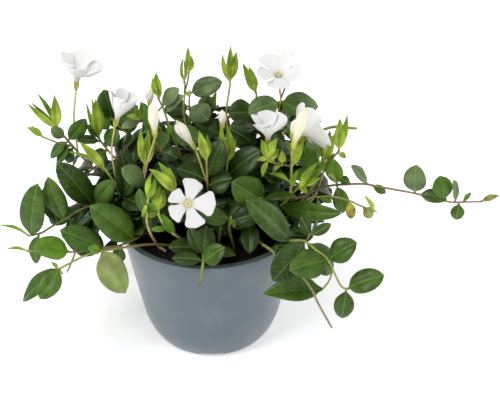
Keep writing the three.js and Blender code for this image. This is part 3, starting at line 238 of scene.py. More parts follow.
SHOOTS = (
    Shoot("left_high", (176, 222), (1.9, 1.2),
        ((150, 205, 10), (126, 190, 10), (103, 176, 12), (85, 160, 16), (70, 143, 20), (56, 127, 24)),
        ((69, 141, 86, 119, 0, 11, 40), (66, 139, 51, 128, 0, 8, -30), (65, 143, 50, 158, 3, 10, 20),
         (73, 147, 67, 163, 2, 9, 10), (69, 144, 57, 164, -2, 11, 0), (80, 155, 72, 168, -6, 9, 30)),
        ((54.6, 96, 0, 8, 10), (37, 95, -2, 6, 40), (28, 104.5, 1, 5, -30), (31.5, 103.5, -4, 4, 0))),
    Shoot("left_bud", "left_high", (1.2, 1),
        ((72, 145, 19), (57, 142.5, 20), (48, 139, 21), (42, 136.5, 22)), (),
        ((27.5, 127, 0, 5.5, 0), (31, 126.5, -1, 4.5, 90))),
    Shoot("left_middle", (165, 230), (1.9, 1.3),
        ((140, 214, -6), (130, 207, -6), (119, 189, -4), (110, 176, -1), (105, 169, 0)),
        ((124, 196, 134, 176, 6, 12, 0), (126, 199, 121, 150, 4, 15, 20)),
        ((79.5, 142, 0, 8, 0), (71, 149, 2, 5, 50))),
    Shoot("left_spindle", (178, 214), (1.8, 1.2),
        ((140, 182, 24), (115, 158, 26), (102, 143, 28), (97.5, 135, 29)),
        ((101, 141, 77, 140, 4, 12, 30), (99, 137, 87, 125, 0, 8, 20), (108, 150, 95, 158, 4, 12, 20),
         (106, 148, 118, 130, 0, 13, 0)),
        ((91, 98, 0, 5, 20), (95.5, 100, 1, 9, 0), (87.5, 103, 0, 5, -50), (99.5, 103, -3, 6, 40))),
    Shoot("left_back", (192, 204), (1.8, 1.2),
        ((160, 160, 52), (135, 140, 54), (115, 122, 56), (108, 114, 56)),
        ((112, 118, 104, 90, 0, 16, 0), (116, 122, 138, 106, 0, 14, 10), (130, 136, 128, 112, 0, 13, -20),
         (113, 119, 96, 125, 5, 13, 0)), ((103, 104, 3, 5, 0),)),
    Shoot("left_out", (158, 222), (1.9, 1.2),
        ((125, 205, 4), (95, 204, -4), (70, 216, -10), (51, 227, -13), (41, 233, -15), (28, 236, -16)),
        ((92, 204, 57.5, 163, 8, 18, -10), (88, 205, 60, 182, -3, 9, 60), (97, 204, 113, 181, 8, 14, 15),
         (29, 236, 37, 184, 6, 18, 0), (64, 219, 48, 178, 6, 14, -15), (58, 223, 44, 187, -6, 13, 10),
         (76, 213, 48, 219, -4, 15, 0), (40, 234, 35, 264, 5, 11, 25)), ((1, 223, 0, 4, 40),)),
    Shoot("left_inner_low", (172, 233), (1.8, 0.9),
        ((150, 231.5, -12), (135, 239, -26), (118, 246, -32), (104, 248, -36), (84, 251, -40),
         (71, 252, -42), (48, 251, -40), (27, 251, -39)),
        ((133, 240, 91, 206, 10, 21, -8), (103, 247, 60, 230, 5, 16, -10), (71, 251, 33, 246, 6, 18.5, 0),
         (122, 245, 119, 262, 2, 10, 20)), ((8, 247, 0, 3, 30),)),
    Shoot("left_low", (190, 249), (1.8, 1.2),
        ((170, 245.5, -24), (150, 244.5, -30), (127, 247, -40), (108, 250, -45), (92, 253, -48),
         (80, 258, -50), (57, 270, -52)),
        ((103, 250, 125, 293, 0, 20, 172), (102, 250, 88, 248, 4, 7, 0), (58, 269, 22, 301, 2, 14, 20),
         (60, 269, 40, 299, 7, 14, -15)), ((52, 262, 0, 3, 0), (63, 275, 1, 2, 0))),
    Shoot("front_left", (165, 252), (1.9, 1.3),
        ((158, 246, -28), (150, 232, -34), (147, 221, -36), (147, 208, -38), (148, 199, -39)),
        ((147.5, 217, 139, 189, 0, 9, 0), (147.5, 216, 151, 193, -4, 9, 0)),
        ((151, 173, 0, 5.5, -30), (155, 178, 1, 5.5, 40), (142, 217, 2, 3, 0), (158, 213, 2, 4, 0))),
    Shoot("front_left_arc", (200, 241), (1.9, 1.3),
        ((185, 240, -31), (170, 231, -36), (160, 218, -38), (158, 211, -39)),
        ((177, 233, 160, 214, 3, 7, -30), (168, 229, 151, 229.5, 4, 4.5, 0)),
        ((159, 186, 0, 9, -20), (163, 189, -3, 7, 40))),
    Shoot("centre_lean", (194, 234), (1.8, 1.3), ((186, 214, -28), (179, 200, -32), (175, 191, -33)), (),
        ((149, 169, 2, 9, 0), (160, 162, -3, 8, 20), (169, 168, -2, 4, 60), (171, 205, 4, 3, 0))),
    Shoot("front_node", (207, 252), (1.9, 1.5),
        ((203, 250, -34), (203.5, 259, -56), (202, 270, -64), (200, 286, -65)),
        ((202, 260, 172, 258, 3, 10, 10), (204.5, 262, 224, 247, 3, 14, 0),
         (203, 255, 206, 226, -5, 14, 0), (202, 256, 189, 227, -9, 10, 0))),
    Shoot("centre_right", (234, 250), (1.9, 1.5), ((232, 240, -28), (229, 228, -32), (231, 216, -34)),
        ((231, 218, 200, 216, 4, 15, 0), (230, 222, 262, 212, -2, 15, 10)), ((235, 228, 3, 4, 0),)),
    Shoot("front_right_big", (262, 226), (1.9, 1.5), ((268, 210, -4), (266, 204, -14), (260, 198, -20)),
        ((265, 202, 232, 182, 6, 21, -10), (262, 201, 229, 226, 12, 20, 0))),
    Shoot("right_low", (240, 229), (2.1, 1.2),
        ((247, 229, -8), (258, 241, -28), (275, 253, -48), (298, 272, -60), (312, 290, -64),
         (318, 303, -65), (332, 328, -66)), ((296, 270, 276, 246, 2, 15, 0),)),
    Shoot("right_fan", (250, 224), (2, 1.1),
        ((270, 232, -18), (288, 240, -42), (304, 241, -50), (316, 250, -54), (328, 260, -57),
         (341, 286, -60), (350, 289, -60)),
        ((289, 240, 248, 200, 10, 19, 0), (304, 242, 273, 281, 14, 21, 0),
         (306, 242, 333, 274, -3, 17, 0), (328, 260, 289, 270, 9, 20, 0), (328, 260, 356, 242, 2, 16, 0),
         (349, 289, 384, 275, 2, 16, 0), (348, 288, 342, 319, 3, 13, 0))),
    Shoot("right_fork", "right_fan", (1.2, 1), ((304, 241, -50), (309, 237, -50), (309, 233, -50)),
        ((309, 234, 301, 217, 0, 8, 0), (309, 234, 331, 224, 0, 7, 30))),
    Shoot("right_fan_side", "right_fan", (1.1, 1), ((332, 268, -58), (329, 281, -56), (322, 290, -55)),
        (), ((263, 293, 8, 21, 0),)),
    Shoot("right_stem", (268, 220), (2, 1.3),
        ((279, 208, -2), (289, 197, -9), (291, 188, -11), (291.5, 165, -12), (292, 150, -12)),
        ((280, 208, 340, 214, 20, 12.5, 10),), ((304, 136, 2, 8, 20), (285, 140, 0, 4, 0))),
    Shoot("right_star", "right_stem", (1.3, 1),
        ((291, 166, -12), (281, 164, -14), (272, 162, -16), (266, 157, -18)), (),
        ((277, 138, 0, 7, 0), (261, 139, 0, 6, 0), (257, 160, 2, 4, 0), (263, 177, 4, 5, 30),
         (279, 149, -2, 7, 0))),
    Shoot("right_spray", "right_stem", (1.4, 1.2), ((289, 197, -9), (296, 190, -12), (301, 185, -14)),
        (), ((322, 169, 0, 8, 0), (320, 178, 3, 5, 30), (308, 193, 2, 5, 0))),
    Shoot("right_long", (271, 210), (1.8, 1.2),
        ((300, 206, 15), (314, 197, 11), (323, 173, 8), (331, 160, 8), (340, 150, 8)), (),
        ((340, 119, 0, 9, 0), (346, 114, -1, 6, 30), (346, 158, 2, 5, 0))),
    Shoot("right_pink", (262, 207), (2, 1.3),
        ((304, 196, 3), (314, 181, 0), (321, 168, 0), (325, 160, 0)),
        ((316, 177, 303, 146, -6, 13, 0), (315, 179, 294, 172, -4, 12, 10)),
        ((330, 131, 0, 8, 10), (321, 137, -1, 6, -20), (334, 140, -3, 5, 40))),
    Shoot("right_twig", (248, 204), (1.4, 1.8),
        ((292, 160, 26), (305, 140, 26), (330, 127.5, 24), (350, 128, 24), (357, 128.5, 24)),
        ((306, 140, 318, 160, 4, 13, 0), (297, 152, 286, 118, 0, 9, 30))),
    Shoot("right_trail", (280, 219), (1.7, 1),
        ((300, 202, 2), (313, 190.5, 4), (330, 185.7, 3), (348, 184.3, 0), (365, 184, -5), (380, 187, -9),
         (408, 192, -16), (425, 195.7, -20), (450, 202, -24), (464, 202, -26), (482, 201.5, -28)),
        ((368, 184, 351.5, 165.5, 2, 9, 20), (371, 185, 386, 193, 3, 6, 0),
         (415, 193.5, 416, 165, 2, 15, -20), (443, 200, 440, 176, -2, 14, 0),
         (419.5, 195, 447, 199, 5, 10, 0), (456, 202, 454.5, 180, 0, 7, 40),
         (458, 202, 456, 220, 2, 9, 0), (338, 185, 343.5, 213.5, 5, 11, 0),
         (350, 184.5, 339, 178, -2, 8, 20), (337, 185, 333, 159, -2, 12, 0),
         (338, 185, 329, 174, 5, 5, 0), (462, 202, 471, 192.5, 1, 3, 0)), ((499, 195.5, 0, 5, 0),)),
    Shoot("right_short", (276, 229), (1.5, 1),
        ((306, 201, -6), (318, 197, -4), (335, 197, -8), (350, 201, -12), (361, 206, -15), (377, 212, -18)),
        ((349, 201, 351.5, 219, 2, 9, 0), (319, 197, 332, 202, 3, 5, 0), (364, 207, 372, 217.5, 2, 8, 0)),
        ((365, 196, 0, 4, 0),)),
    Shoot("top_twin", (204, 206), (1.7, 1.1),
        ((194, 150, 38), (184, 117, 40), (184.7, 92, 42), (184.5, 82, 42)), (),
        ((181, 59.5, 0, 4, -60), (184, 61, 0, 4, 60))),
    Shoot("top_twin_right", "top_twin", (1.1, 1), ((185, 91, 42), (187.5, 82, 42), (189, 72, 42)), (),
        ((188, 48, 0, 5, 0), (191, 56, -1, 6, 40))),
    Shoot("back_middle", (207, 202), (1.6, 1),
        ((200, 140, 50), (190, 112, 50), (189.5, 96, 50), (190, 90, 50)),
        ((190, 91, 222, 81.5, 3, 14, 15), (190, 106, 209, 120, 8, 17, 0), (190, 105, 168, 110, 6, 14, 0),
         (194, 124, 220, 134, 8, 18, 0), (196, 126, 170, 140, 6, 18, 0)), ((187, 96, 1, 6, 0),)),
    Shoot("back_slim", (220, 201), (1.5, 1), ((214, 150, 56), (211, 116, 58), (212, 107, 58)),
        ((211, 117, 203, 96, 0, 14, 0), (212, 122, 230, 128, 5, 14, 0)), ((216, 92, 0, 4.5, 0),)),
    Shoot("top_left", (198, 214), (1.8, 1.2),
        ((182, 160, 18), (170, 128, 20), (163, 108, 24), (157.5, 97, 26)),
        ((163, 107, 178.5, 88, -2, 13, -20), (165, 112, 183, 95, 5, 9, 0), (169, 124, 171, 135, 3, 5, 0),
         (172, 132, 200, 140, 5, 17, 0), (172, 133, 150, 150, 0, 14, 0)),
        ((156, 73.5, 0, 7, 0), (152.5, 78, 1, 5, -40), (158.5, 84, -2, 4, 40))),
    Shoot("left_brown", (186, 222), (1.9, 1.2),
        ((170, 170, 6), (153, 136, 10), (147, 127, 11), (140, 118, 12)),
        ((150, 131, 143.5, 103, 0, 8, 20), (141, 119, 121, 127, 4, 8, 10), (160, 152, 178, 158, 6, 12, 0)),
        ((127, 115.5, 2, 5, 0), (134, 106, 0, 4, 0), (141, 101, -1, 5, 20))),
    Shoot("left_pale", (174, 238), (1.8, 1.2),
        ((155, 205, -20), (145, 180, -18), (144, 170, -17), (145, 164, -16)),
        ((146, 186, 122, 168, 4, 14, 0),),
        ((140, 130, 0, 6.5, -20), (148, 129, -1, 6, 20), (155, 142, -3, 6, 0))),
    Shoot("centre_stem", (214, 212), (1.7, 1.2), ((208, 190, -4), (207, 175, -8), (206.5, 160, -10)),
        ((208, 178, 222, 140, -4, 17, 0), (207, 182, 177, 168, 2, 16, 0), (208, 186, 232, 178, 4, 18, 0)),
        ((199, 131, 0, 8, 0), (208, 136, -2, 5, 30))),
    Shoot("centre_pale", (232, 206), (1.6, 1.2), ((227, 178, 2), (227.5, 160, 4)),
        ((227, 176, 262, 150, 2, 19, 0), (227, 180, 258, 178, 6, 17, 0)),
        ((220.5, 126, 1, 6, -20), (229, 127, -1, 7.5, 30), (235, 140, 0, 5, 50))),
    Shoot("top_middle", (232, 202), (1.6, 1.1),
        ((229, 150, 40), (226.5, 113, 42), (229, 92, 42), (230.5, 80, 42)),
        ((227, 128, 252, 142, 8, 16, 0),),
        ((230.5, 46.5, 0, 6, 0), (236, 51, 1, 7, 20), (222, 55, 0, 5, -40))),
    Shoot("top_hook", (241, 205), (1.6, 1.2), ((254, 150, 40), (256, 115, 44), (256.5, 92, 46)),
        ((255.5, 112, 228, 113, 4, 18, 0), (255, 128, 231, 126, 8, 12, 0), (255, 130, 236, 147, 8, 15, 0)),
        ((243.5, 64.5, 2, 7.5, -15), (248.5, 67, -2, 6.5, 35))),
    Shoot("top_right", (247, 209), (1.8, 1.3), ((272, 150, 32), (278, 115, 34), (281, 98, 36)),
        ((281, 99, 248, 113, 8, 17, 0), (281, 99, 303, 113, 8, 13, 10), (281, 98, 319, 106, -4, 16, 0),
         (276, 125, 290, 108, 0, 9, 20))),
    Shoot("top_right_twig", "top_right", (1.1, 0.9),
        ((281, 98, 36), (285, 88, 37), (289, 77, 39), (291.5, 66, 42)), (), ((292, 53, 0, 2.5, 0),)),
)

FLOWERS = (
    Flower(
        "bloom_left_high", "left_high", ((79, 151, 17), (75.8, 136, 20), (73.8, 118, 23), (76, 89, 24)),
        Stage.OPEN, (0.14, 0.02, 1), 15, spread=46, turn=10,
    ),
    Flower(
        "bloom_left", "left_middle", ((118, 187, -4), (114, 168, -6), (111.5, 150, -5), (115, 126.5, -4)),
        Stage.OPEN, (0.3, 0.02, 1), 14.5, spread=28, turn=30,
    ),
    Flower(
        "bloom_top_right", "top_right", ((281, 98, 36), (280, 92, 36), (279.3, 85.5, 36)),
        Stage.OPEN, (-0.04, -0.3, 0.94), 13.8, spread=64, turn=0,
    ),
    Flower(
        "bloom_right_middle", "right_star", ((268, 158, -17), (268.5, 153, -16), (268.5, 147, -15)),
        Stage.OPEN, (-0.02, 0.04, 1), 13, spread=50, turn=20,
    ),
    Flower(
        "bloom_right", "right_stem", ((291.5, 156, -12), (290, 149, -9), (293, 139, -7)),
        Stage.OPEN, (0.82, 0.5, 0.22), 15.5, spread=66, turn=0,
    ),
    Flower(
        "bloom_centre", "centre_lean", ((186, 214, -28), (189.5, 209, -34), (191, 202.5, -37)),
        Stage.OPEN, (-0.1, -0.84, 0.42), 14.2, spread=84, turn=-3,
    ),
    Flower(
        "bud_left", "left_pale", ((144, 178, -18), (147.5, 162, -25), (151.5, 149, -22), (155, 137, -16)),
        Stage.CLOSED, (-0.03, 0.1, 1), 3.4, length=24,
    ),
    Flower(
        "bud_centre", "centre_stem", ((207.5, 184, -7), (202, 168, -10), (198, 156, -11), (195.5, 149, -11)),
        Stage.HALF_OPEN, (-0.48, -0.1, 0.84), 4.6, length=24,
    ),
    Flower(
        "bud_small", "centre_pale", ((227.5, 164, 4), (223, 150, 7), (222.5, 129, 9)),
        Stage.CLOSED, (0, 0.1, 1), 2.5, length=13.5,
    ),
    Flower(
        "bud_right", "right_stem", ((291.5, 158, -12), (295, 150, -17), (292.5, 139, -19)),
        Stage.CLOSED, (0.1, 0, 1), 2.3, length=14,
    ),
    Flower(
        "bud_back", "top_left", ((163, 108, 24), (156, 112, 33), (150, 106, 38)),
        Stage.CLOSED, (0, 0, 1), 3, length=13,
    ),
)

# A bud that only the finer plant has.
LATE_BUD = Flower(
    "bud_tall", "right_stem", ((291.5, 162, -16), (291.5, 155, -21), (293, 148, -24)),
    Stage.CLOSED, (0.27, 0.12, 1), 3.5, length=28, late=True,
)

# Young blades that only the finer plant has: the same rows as a shoot's leaves.
SIDE_BLADES = {
    "right_star": (
        (275, 163, 263, 154, 0, 6, 0), (283, 165, 272, 172, 3, 5, 30), (281, 165, 282, 150, 1, 6, 0),
    ),
    "right_stem": (
        (291, 183, 271, 172, 4, 5, 20), (292, 168, 304, 142, 5, 8, 0), (291, 190, 297, 171, 4, 5, 0),
    ),
    "right_spray": ((297, 189, 310, 178, 5, 5, 0), (299, 187, 316, 163, 5, 6, 0)),
    "right_pink": (
        (318, 174, 321, 150, 5, 7, 0), (324, 161, 335, 134, 6, 9, 0), (312, 184, 322, 169, 6, 5, 0),
    ),
    "right_long": ((323, 173, 334, 153, 4, 5, 0),),
    "front_left": ((147, 217, 158, 214, 3, 5, 0), (147, 217, 141, 215, 3, 4, 0)),
}

MOUND = np.array(
    [
        (58, 215), (62, 170), (76, 152), (97, 150), (96, 112), (104, 93), (120, 96), (136, 124), (150, 118),
        (164, 97), (178, 90), (190, 98), (220, 104), (243, 103), (258, 100), (300, 96), (317, 105),
        (317, 142), (334, 160), (332, 186), (342, 212), (326, 226), (312, 246), (300, 262), (270, 345),
        (150, 345), (128, 262), (100, 262), (60, 250),
    ],
    float,
)


# The growing rule, the same as the solids'.


@dataclass(frozen=True)
class View:
    """The direction from which the photo was taken, and its scale in pixels and mm."""

    columns: float = 500
    rows: float = 400
    focal: float = 1351
    distance: float = 900
    elevation: float = math.radians(30)
    roll: float = math.radians(0.65)
    aim: tuple[float, float, float] = (27, 0, 99.4)
    sensor: float = 36

    @property
    def forward(self) -> Array:
        """The way that the camera looks."""
        return np.array([0, math.cos(self.elevation), -math.sin(self.elevation)])

    @property
    def upward(self) -> Array:
        """The way up in the picture, but for its roll."""
        return np.array([0, math.sin(self.elevation), math.cos(self.elevation)])

    @property
    def eye(self) -> Array:
        """Where the camera stands."""
        return np.array(self.aim) - self.distance * self.forward

    @property
    def rolled(self) -> Pair:
        """The cosine and the sine of the roll."""
        return math.cos(self.roll), math.sin(self.roll)

    def way(self, column: float, row: float) -> Array:
        """The direction from the eye through a point of the picture.

        Args:
            column: the point's column.
            row: its row.

        Returns:
            The direction, at any length.
        """
        across, up = column - self.columns / 2, self.rows / 2 - row
        c, s = self.rolled
        sideways = np.array([c * across + s * up, 0, 0])
        return self.focal * self.forward + sideways + (c * up - s * across) * self.upward

    def behind(self, column: float, row: float, value: float, axis: int = 1) -> Array:
        """The point behind a point of the picture whose y, or another axis, has the value."""
        way = self.way(column, row)
        return self.eye + way * (value - self.eye[axis]) / way[axis]

    def seen(self, points: Array) -> Array:
        """Where the picture shows points.

        Args:
            points: the points.

        Returns:
            The column, the row and the distance ahead of each.
        """
        apart = points - self.eye
        far = apart @ self.forward
        across, up = apart[:, 0] * self.focal / far, (apart @ self.upward) * self.focal / far
        c, s = self.rolled
        columns = self.columns / 2 + c * across - s * up
        return np.stack([columns, self.rows / 2 - (s * across + c * up), far], axis=1)

    def build(self) -> None:
        """Makes the camera of the picture."""
        lens = bpy.data.cameras.new("camera")
        lens.sensor_width = self.sensor
        lens.lens = self.focal / self.columns * self.sensor
        c, s = self.rolled
        right = c * np.array([1, 0, 0]) - s * self.upward
        up = s * np.array([1, 0, 0]) + c * self.upward
        bpy.context.scene.camera = placed("camera", lens, (right, up, -self.forward), self.eye * MM)


def placed(name: str, data: Any, axes: Sequence[Array], place: Sequence[float]) -> Thing:
    """Puts a camera or a lamp in the scene.

    Args:
        name: the object's name.
        data: what it holds.
        axes: its right, its up and its back.
        place: where it stands, in metres.

    Returns:
        The object.
    """
    turned = np.eye(4)
    turned[:3, :3] = np.stack(axes, axis=1)
    turned[:3, 3] = place
    thing = bpy.data.objects.new(name, data)
    thing.matrix_world = Matrix(turned.tolist())
    bpy.context.scene.collection.objects.link(thing)
    return thing


@dataclass(frozen=True)
class PotSizes:
    """The pot: a tapered cup with a thick lip, a raised floor and drain channels."""

    height: float = 84
    top: float = 60
    lip_width: float = 4.5
    lip_depth: float = 3
    wall: float = 1.4
    heel: float = 48
    heel_height: float = 24
    heel_pull: float = 0.33
    foot: float = 37.3
    floor: float = 4.2

    def wall_at(self, z: Array) -> Array:
        """The outer radius at a height, on the straight taper above the heel."""
        taper = (self.top - self.heel) / (self.height - self.heel_height)
        return self.top - taper * (self.height - z)


@dataclass(frozen=True)
class SoilSizes:
    """The soil's level, its crown, and how deep stems stand in it."""

    level: float = 76.4
    edge: float = 2
    crown: float = 1.2
    rough: float = 0.35
    gap: float = 0.3
    stem_depth: float = 9


@dataclass(frozen=True)
class Clearances:
    """What the growing rule keeps clear, centre to centre."""

    leaf: float = 2.5
    own: float = 1.4
    stem: float = 3.3
    leaf_to_stem: float = 2.7
    root: float = 3.4
    pot: float = 1.4
    soil: float = 1.6
    floor: float = 3
    slack: float = 0.05


@dataclass(frozen=True)
class Outline:
    """A blade's form: its arch and fold, where it is widest, and how full it is."""

    arch: float
    fold: float
    bend: float
    full: float


POT, SOIL, CLEAR = PotSizes(), SoilSizes(), Clearances()
MATURE = Outline(0.07, 0.1, 0.92, 0.68)
YOUNG = Outline(0.03, 0.25, 0.78, 0.9)
FACING = np.array([0, -0.6, 0.8])
STALK, STALK_SHARE, STALK_HALF = 2.2, 0.14, 0.5
SAMPLE_STEP, SAMPLE_FROM = 2.4, 0.12
STEM_SLACK, SPLINE_STEPS, STEM_STEP, COLLAR = 0.65, 10, 2.4, 1.5
END_ON = 0.2


@dataclass
class Blade:
    """A leaf blade from its base on the stem to its tip."""

    base: Array
    tip: Array
    width: float
    turn: float = 0.0
    young: bool = False
    towards: Array = field(default_factory=lambda: FACING)
    group: str = ""
    label: tuple = ()

    def __post_init__(self) -> None:
        """Works out the blade's length and its three directions."""
        self.length = float(np.linalg.norm(self.tip - self.base))
        self.a = (self.tip - self.base) / self.length
        n = self.towards - self.a * (self.towards @ self.a)
        if np.linalg.norm(n) < END_ON:
            n = np.array([1.0, 0, 0]) - self.a * self.a[0]
        n = unit(n)
        turn = math.radians(self.turn)
        self.n = n * math.cos(turn) + cross(self.a, n) * math.sin(turn)
        self.b = cross(self.a, self.n)
        self.outline = YOUNG if self.young else MATURE
        self.stalk = min(STALK, STALK_SHARE * self.length)

    def laid(self, parts: Ways) -> Array:
        """Points from their ways along the blade, across it and off it."""
        along, across, off = (part[..., None] for part in parts)
        return self.base + along * self.a + across * self.b + off * self.n

    def samples(self) -> Array:
        """Points spread over the blade, to keep it clear of what grew before it."""
        return self.laid(blade_samples(self.length, self.width, self.outline))


def half_width(share: Array, width: float, outline: Outline) -> Array:
    """Half the width at a share: a power of the sine of pi times a power of the share."""
    round_off = np.sin(np.pi * np.clip(share, 0, 1) ** outline.bend)
    return width / 2 * np.maximum(round_off, 0) ** outline.full


def blade_face(length: float, width: float, outline: Outline, share: Array, across: Array) -> Ways:
    """The upper face of a blade: arched along it and folded up towards its edges.

    Args:
        length: from the base to the tip.
        width: the widest.
        outline: how it narrows, arches and folds.
        share: shares of the blade beyond its stalk.
        across: shares of the half width, from -1 to 1.

    Returns:
        The ways along the blade, across it and off it.
    """
    stalk = min(STALK, STALK_SHARE * length)
    along = (stalk + share * (length - stalk)) / length
    half = np.maximum(half_width(share, width, outline), np.where(share < 0.5, STALK_HALF, 0))
    off = outline.arch * length * 4 * along * (1 - along) + outline.fold * np.abs(across) * half
    return along * length, across * half, off


@lru_cache(maxsize=512)
def blade_samples(length: float, width: float, outline: Outline) -> Ways:
    """The face at its tip and at a net of points about SAMPLE_STEP apart.

    Args:
        length: from the base to the tip.
        width: the widest.
        outline: how it narrows, arches and folds.

    Returns:
        The ways along the blade, across it and off it.
    """
    shares, acrosses = [1.0], [0.0]
    rows = math.ceil(length / SAMPLE_STEP)
    for i in range(1, rows):
        share = SAMPLE_FROM + (1 - SAMPLE_FROM) * i / rows
        columns = math.ceil(2 * float(half_width(np.array(share), width, outline)) / SAMPLE_STEP)
        shares += [share] * (columns + 1)
        acrosses += [2 * k / columns - 1 for k in range(columns + 1)]
    return blade_face(length, width, outline, np.array(shares), np.array(acrosses))


class Kind(Enum):
    """What has grown, for the clearance that it asks."""

    LEAF = 0
    STEM = 1
    YOUNG = 2
    BLOOM = 3


# The room wanted by leaf, stem, young and bloom: from another group, and from the same one.
LEAF_ROOM = np.array(
    [(CLEAR.leaf, CLEAR.own), (CLEAR.leaf_to_stem, 0), (CLEAR.leaf, 0), (CLEAR.leaf, CLEAR.leaf)]
)
STEM_ROOM = np.array([(CLEAR.stem, 0)] * 4)
UNDER_ROOM = np.array([(0.9, 0.7), (0.9, 0), (0.9, 0), (1.2, 1.2)])


class Room:
    """All that has grown so far, as groups of points with a bounding ball each."""

    def __init__(self) -> None:
        """Starts with nothing grown."""
        self.points: list[Array] = []
        self.balls = np.zeros((0, 4))
        self.kinds = np.zeros(0, int)
        self.groups = np.zeros(0, int)
        self.numbers: dict[str, int] = {}

    def add(self, group: str, kind: Kind, points: Array) -> None:
        """Records points that later ones keep clear of.

        Args:
            group: the shoot or flower that they belong to.
            kind: what they are.
            points: the points.
        """
        self.points.append(points)
        self.balls = np.vstack([self.balls, ball(points)])
        self.kinds = np.append(self.kinds, kind.value)
        number = self.numbers.setdefault(group, len(self.numbers))
        self.groups = np.append(self.groups, number)

    def left(self, points: Array, group: str, wanted: Array) -> float:
        """How far the points lie beyond the wanted clearance. Less than 0 is too near.

        Args:
            points: the points of the new piece.
            group: the shoot that it belongs to.
            wanted: the clearance to each kind, in another group and in the same one.

        Returns:
            The least distance beyond the clearance.
        """
        *centre, reach = ball(points)
        same = (self.groups == self.numbers.get(group, -1)).astype(int)
        need = wanted[self.kinds, same]
        apart = np.linalg.norm(self.balls[:, :3] - centre, axis=1)
        near = np.flatnonzero((need > 0) & (apart <= reach + self.balls[:, 3] + need))
        if not len(near):
            return math.inf
        others = np.concatenate([self.points[i] for i in near])
        needs = np.repeat(need[near], [len(self.points[i]) for i in near])
        low, high = points.min(axis=0) - needs.max(), points.max(axis=0) + needs.max()
        inside = ((others > low) & (others < high)).all(axis=1)
        if not inside.any():
            return math.inf
        others, needs = others[inside], needs[inside]
        squares = (points**2).sum(axis=1)[:, None] + (others**2).sum(axis=1) - 2 * points @ others.T
        return float((np.sqrt(np.maximum(squares, 0)) - needs).min())


def ball(points: Array) -> list[float]:
    """The middle of some points and how far they reach from it."""
    centre = points.mean(axis=0)
    return [*centre, np.linalg.norm(points - centre, axis=1).max()]


def holder_room(points: Array) -> float:
    """How far points lie clear of the pot and the soil, by their sizes.

    Args:
        points: the points.

    Returns:
        The least distance beyond the clearance.
    """
    radius = np.hypot(points[:, 0], points[:, 1])
    height = points[:, 2]
    over_lip = height - POT.height - CLEAR.pot
    outside = radius - POT.wall_at(height) - CLEAR.pot
    over_soil = height - SOIL.level - SOIL.crown - CLEAR.soil
    past_lip = radius > POT.top - POT.lip_width - CLEAR.pot
    room = np.where(past_lip, np.maximum(over_lip, outside), over_soil)
    return float(min(room.min(), (height - CLEAR.floor).min()))


def clearest(trials: Iterable[tuple[Any, float]]) -> tuple[Any, float]:
    """The first trial with room to spare, or else the one with the most room.

    Args:
        trials: things, each with how far it lies beyond its clearance.

    Returns:
        The thing and its room.
    """
    best, most = None, -math.inf
    for thing, room in trials:
        if room > most:
            best, most = thing, room
        if room >= 0:
            break
    return best, most


@dataclass(frozen=True)
class Arc:
    """A family of filling shoots: where they root, how far and how high they reach."""

    root: float
    reach: float
    rise: float
    knots: tuple[Pair, ...]


@dataclass(frozen=True)
class Filling:
    """The rule for the shoots that fill the middle, the back and the sides of the mound."""

    headings: Pair = (-6, 186)
    low_headings: Pair = (220, 345)
    arching: int = 10
    short: int = 5
    growth: Pair = (0.9, 1.1)
    arch: Arc = Arc(36, 58, 58, ((0.25, 0.4), (0.6, 0.78), (1, 1)))
    hang: Arc = Arc(42, 98, 24, ((0.3, 0.8), (0.62, 1), (1, -0.92)))
    low: Arc = Arc(26, 37, 24, ((0.3, 0.4), (0.65, 0.75), (1, 1)))
    node_step: float = 24
    extra_step: float = 80
    under_step: float = 9
    first_node: float = 9
    leaf_length: Pair = (21, 32)
    leaf_width: float = 0.56
    girth: Pair = (1.9, 1.2)
    swings: tuple = (0, 5, -5, 10, -10, 15, -15, 20, -20, 26, -26, 33, -33)
    rolls: tuple = (0, 25, -25, 50, -50, 80, -80)
    leans: tuple = (0.3, 0.8, -0.15)
    roll_play: float = 60
    turn_play: float = 40
    outwards: float = 0.012
    upright: float = 0.35
    arch_seed: int = 1
    low_seed: int = 15
    shoot_seed: int = 100
    extra_seed: int = 3000
    under_seed: int = 9000
    step_seed: int = 13
    length_seed: int = 40
    roll_seed: int = 77
    turn_seed: int = 9
    cover: float = 4.5
    front_row: float = 257
    bare: tuple = ((0, 226), (296, 165))
    behind: float = 1


LEAF_NUDGES = [
    (near, turn) for near in (0, 2, -2, 4, -4, 7, -7, 10, -10, 14) for turn in (0, 14, -14, 30, -30)
]
YOUNG_NUDGES = [(near, 0) for near in (0, 2, -2, 4, -4, 6, -6, 9, -9)]
STEM_NUDGES = (0, 2, -2, 4, -4, 6, -6, 9, -9, 12, -12)
TUFT_SET_BACK = 0.5


@dataclass
class Stem:
    """A stem's fine and thinned routes, its girth, and whether it stands in the soil."""

    group: str
    name: str
    fine: Array
    thin: Array
    girth: Pair
    start: Array | None = None


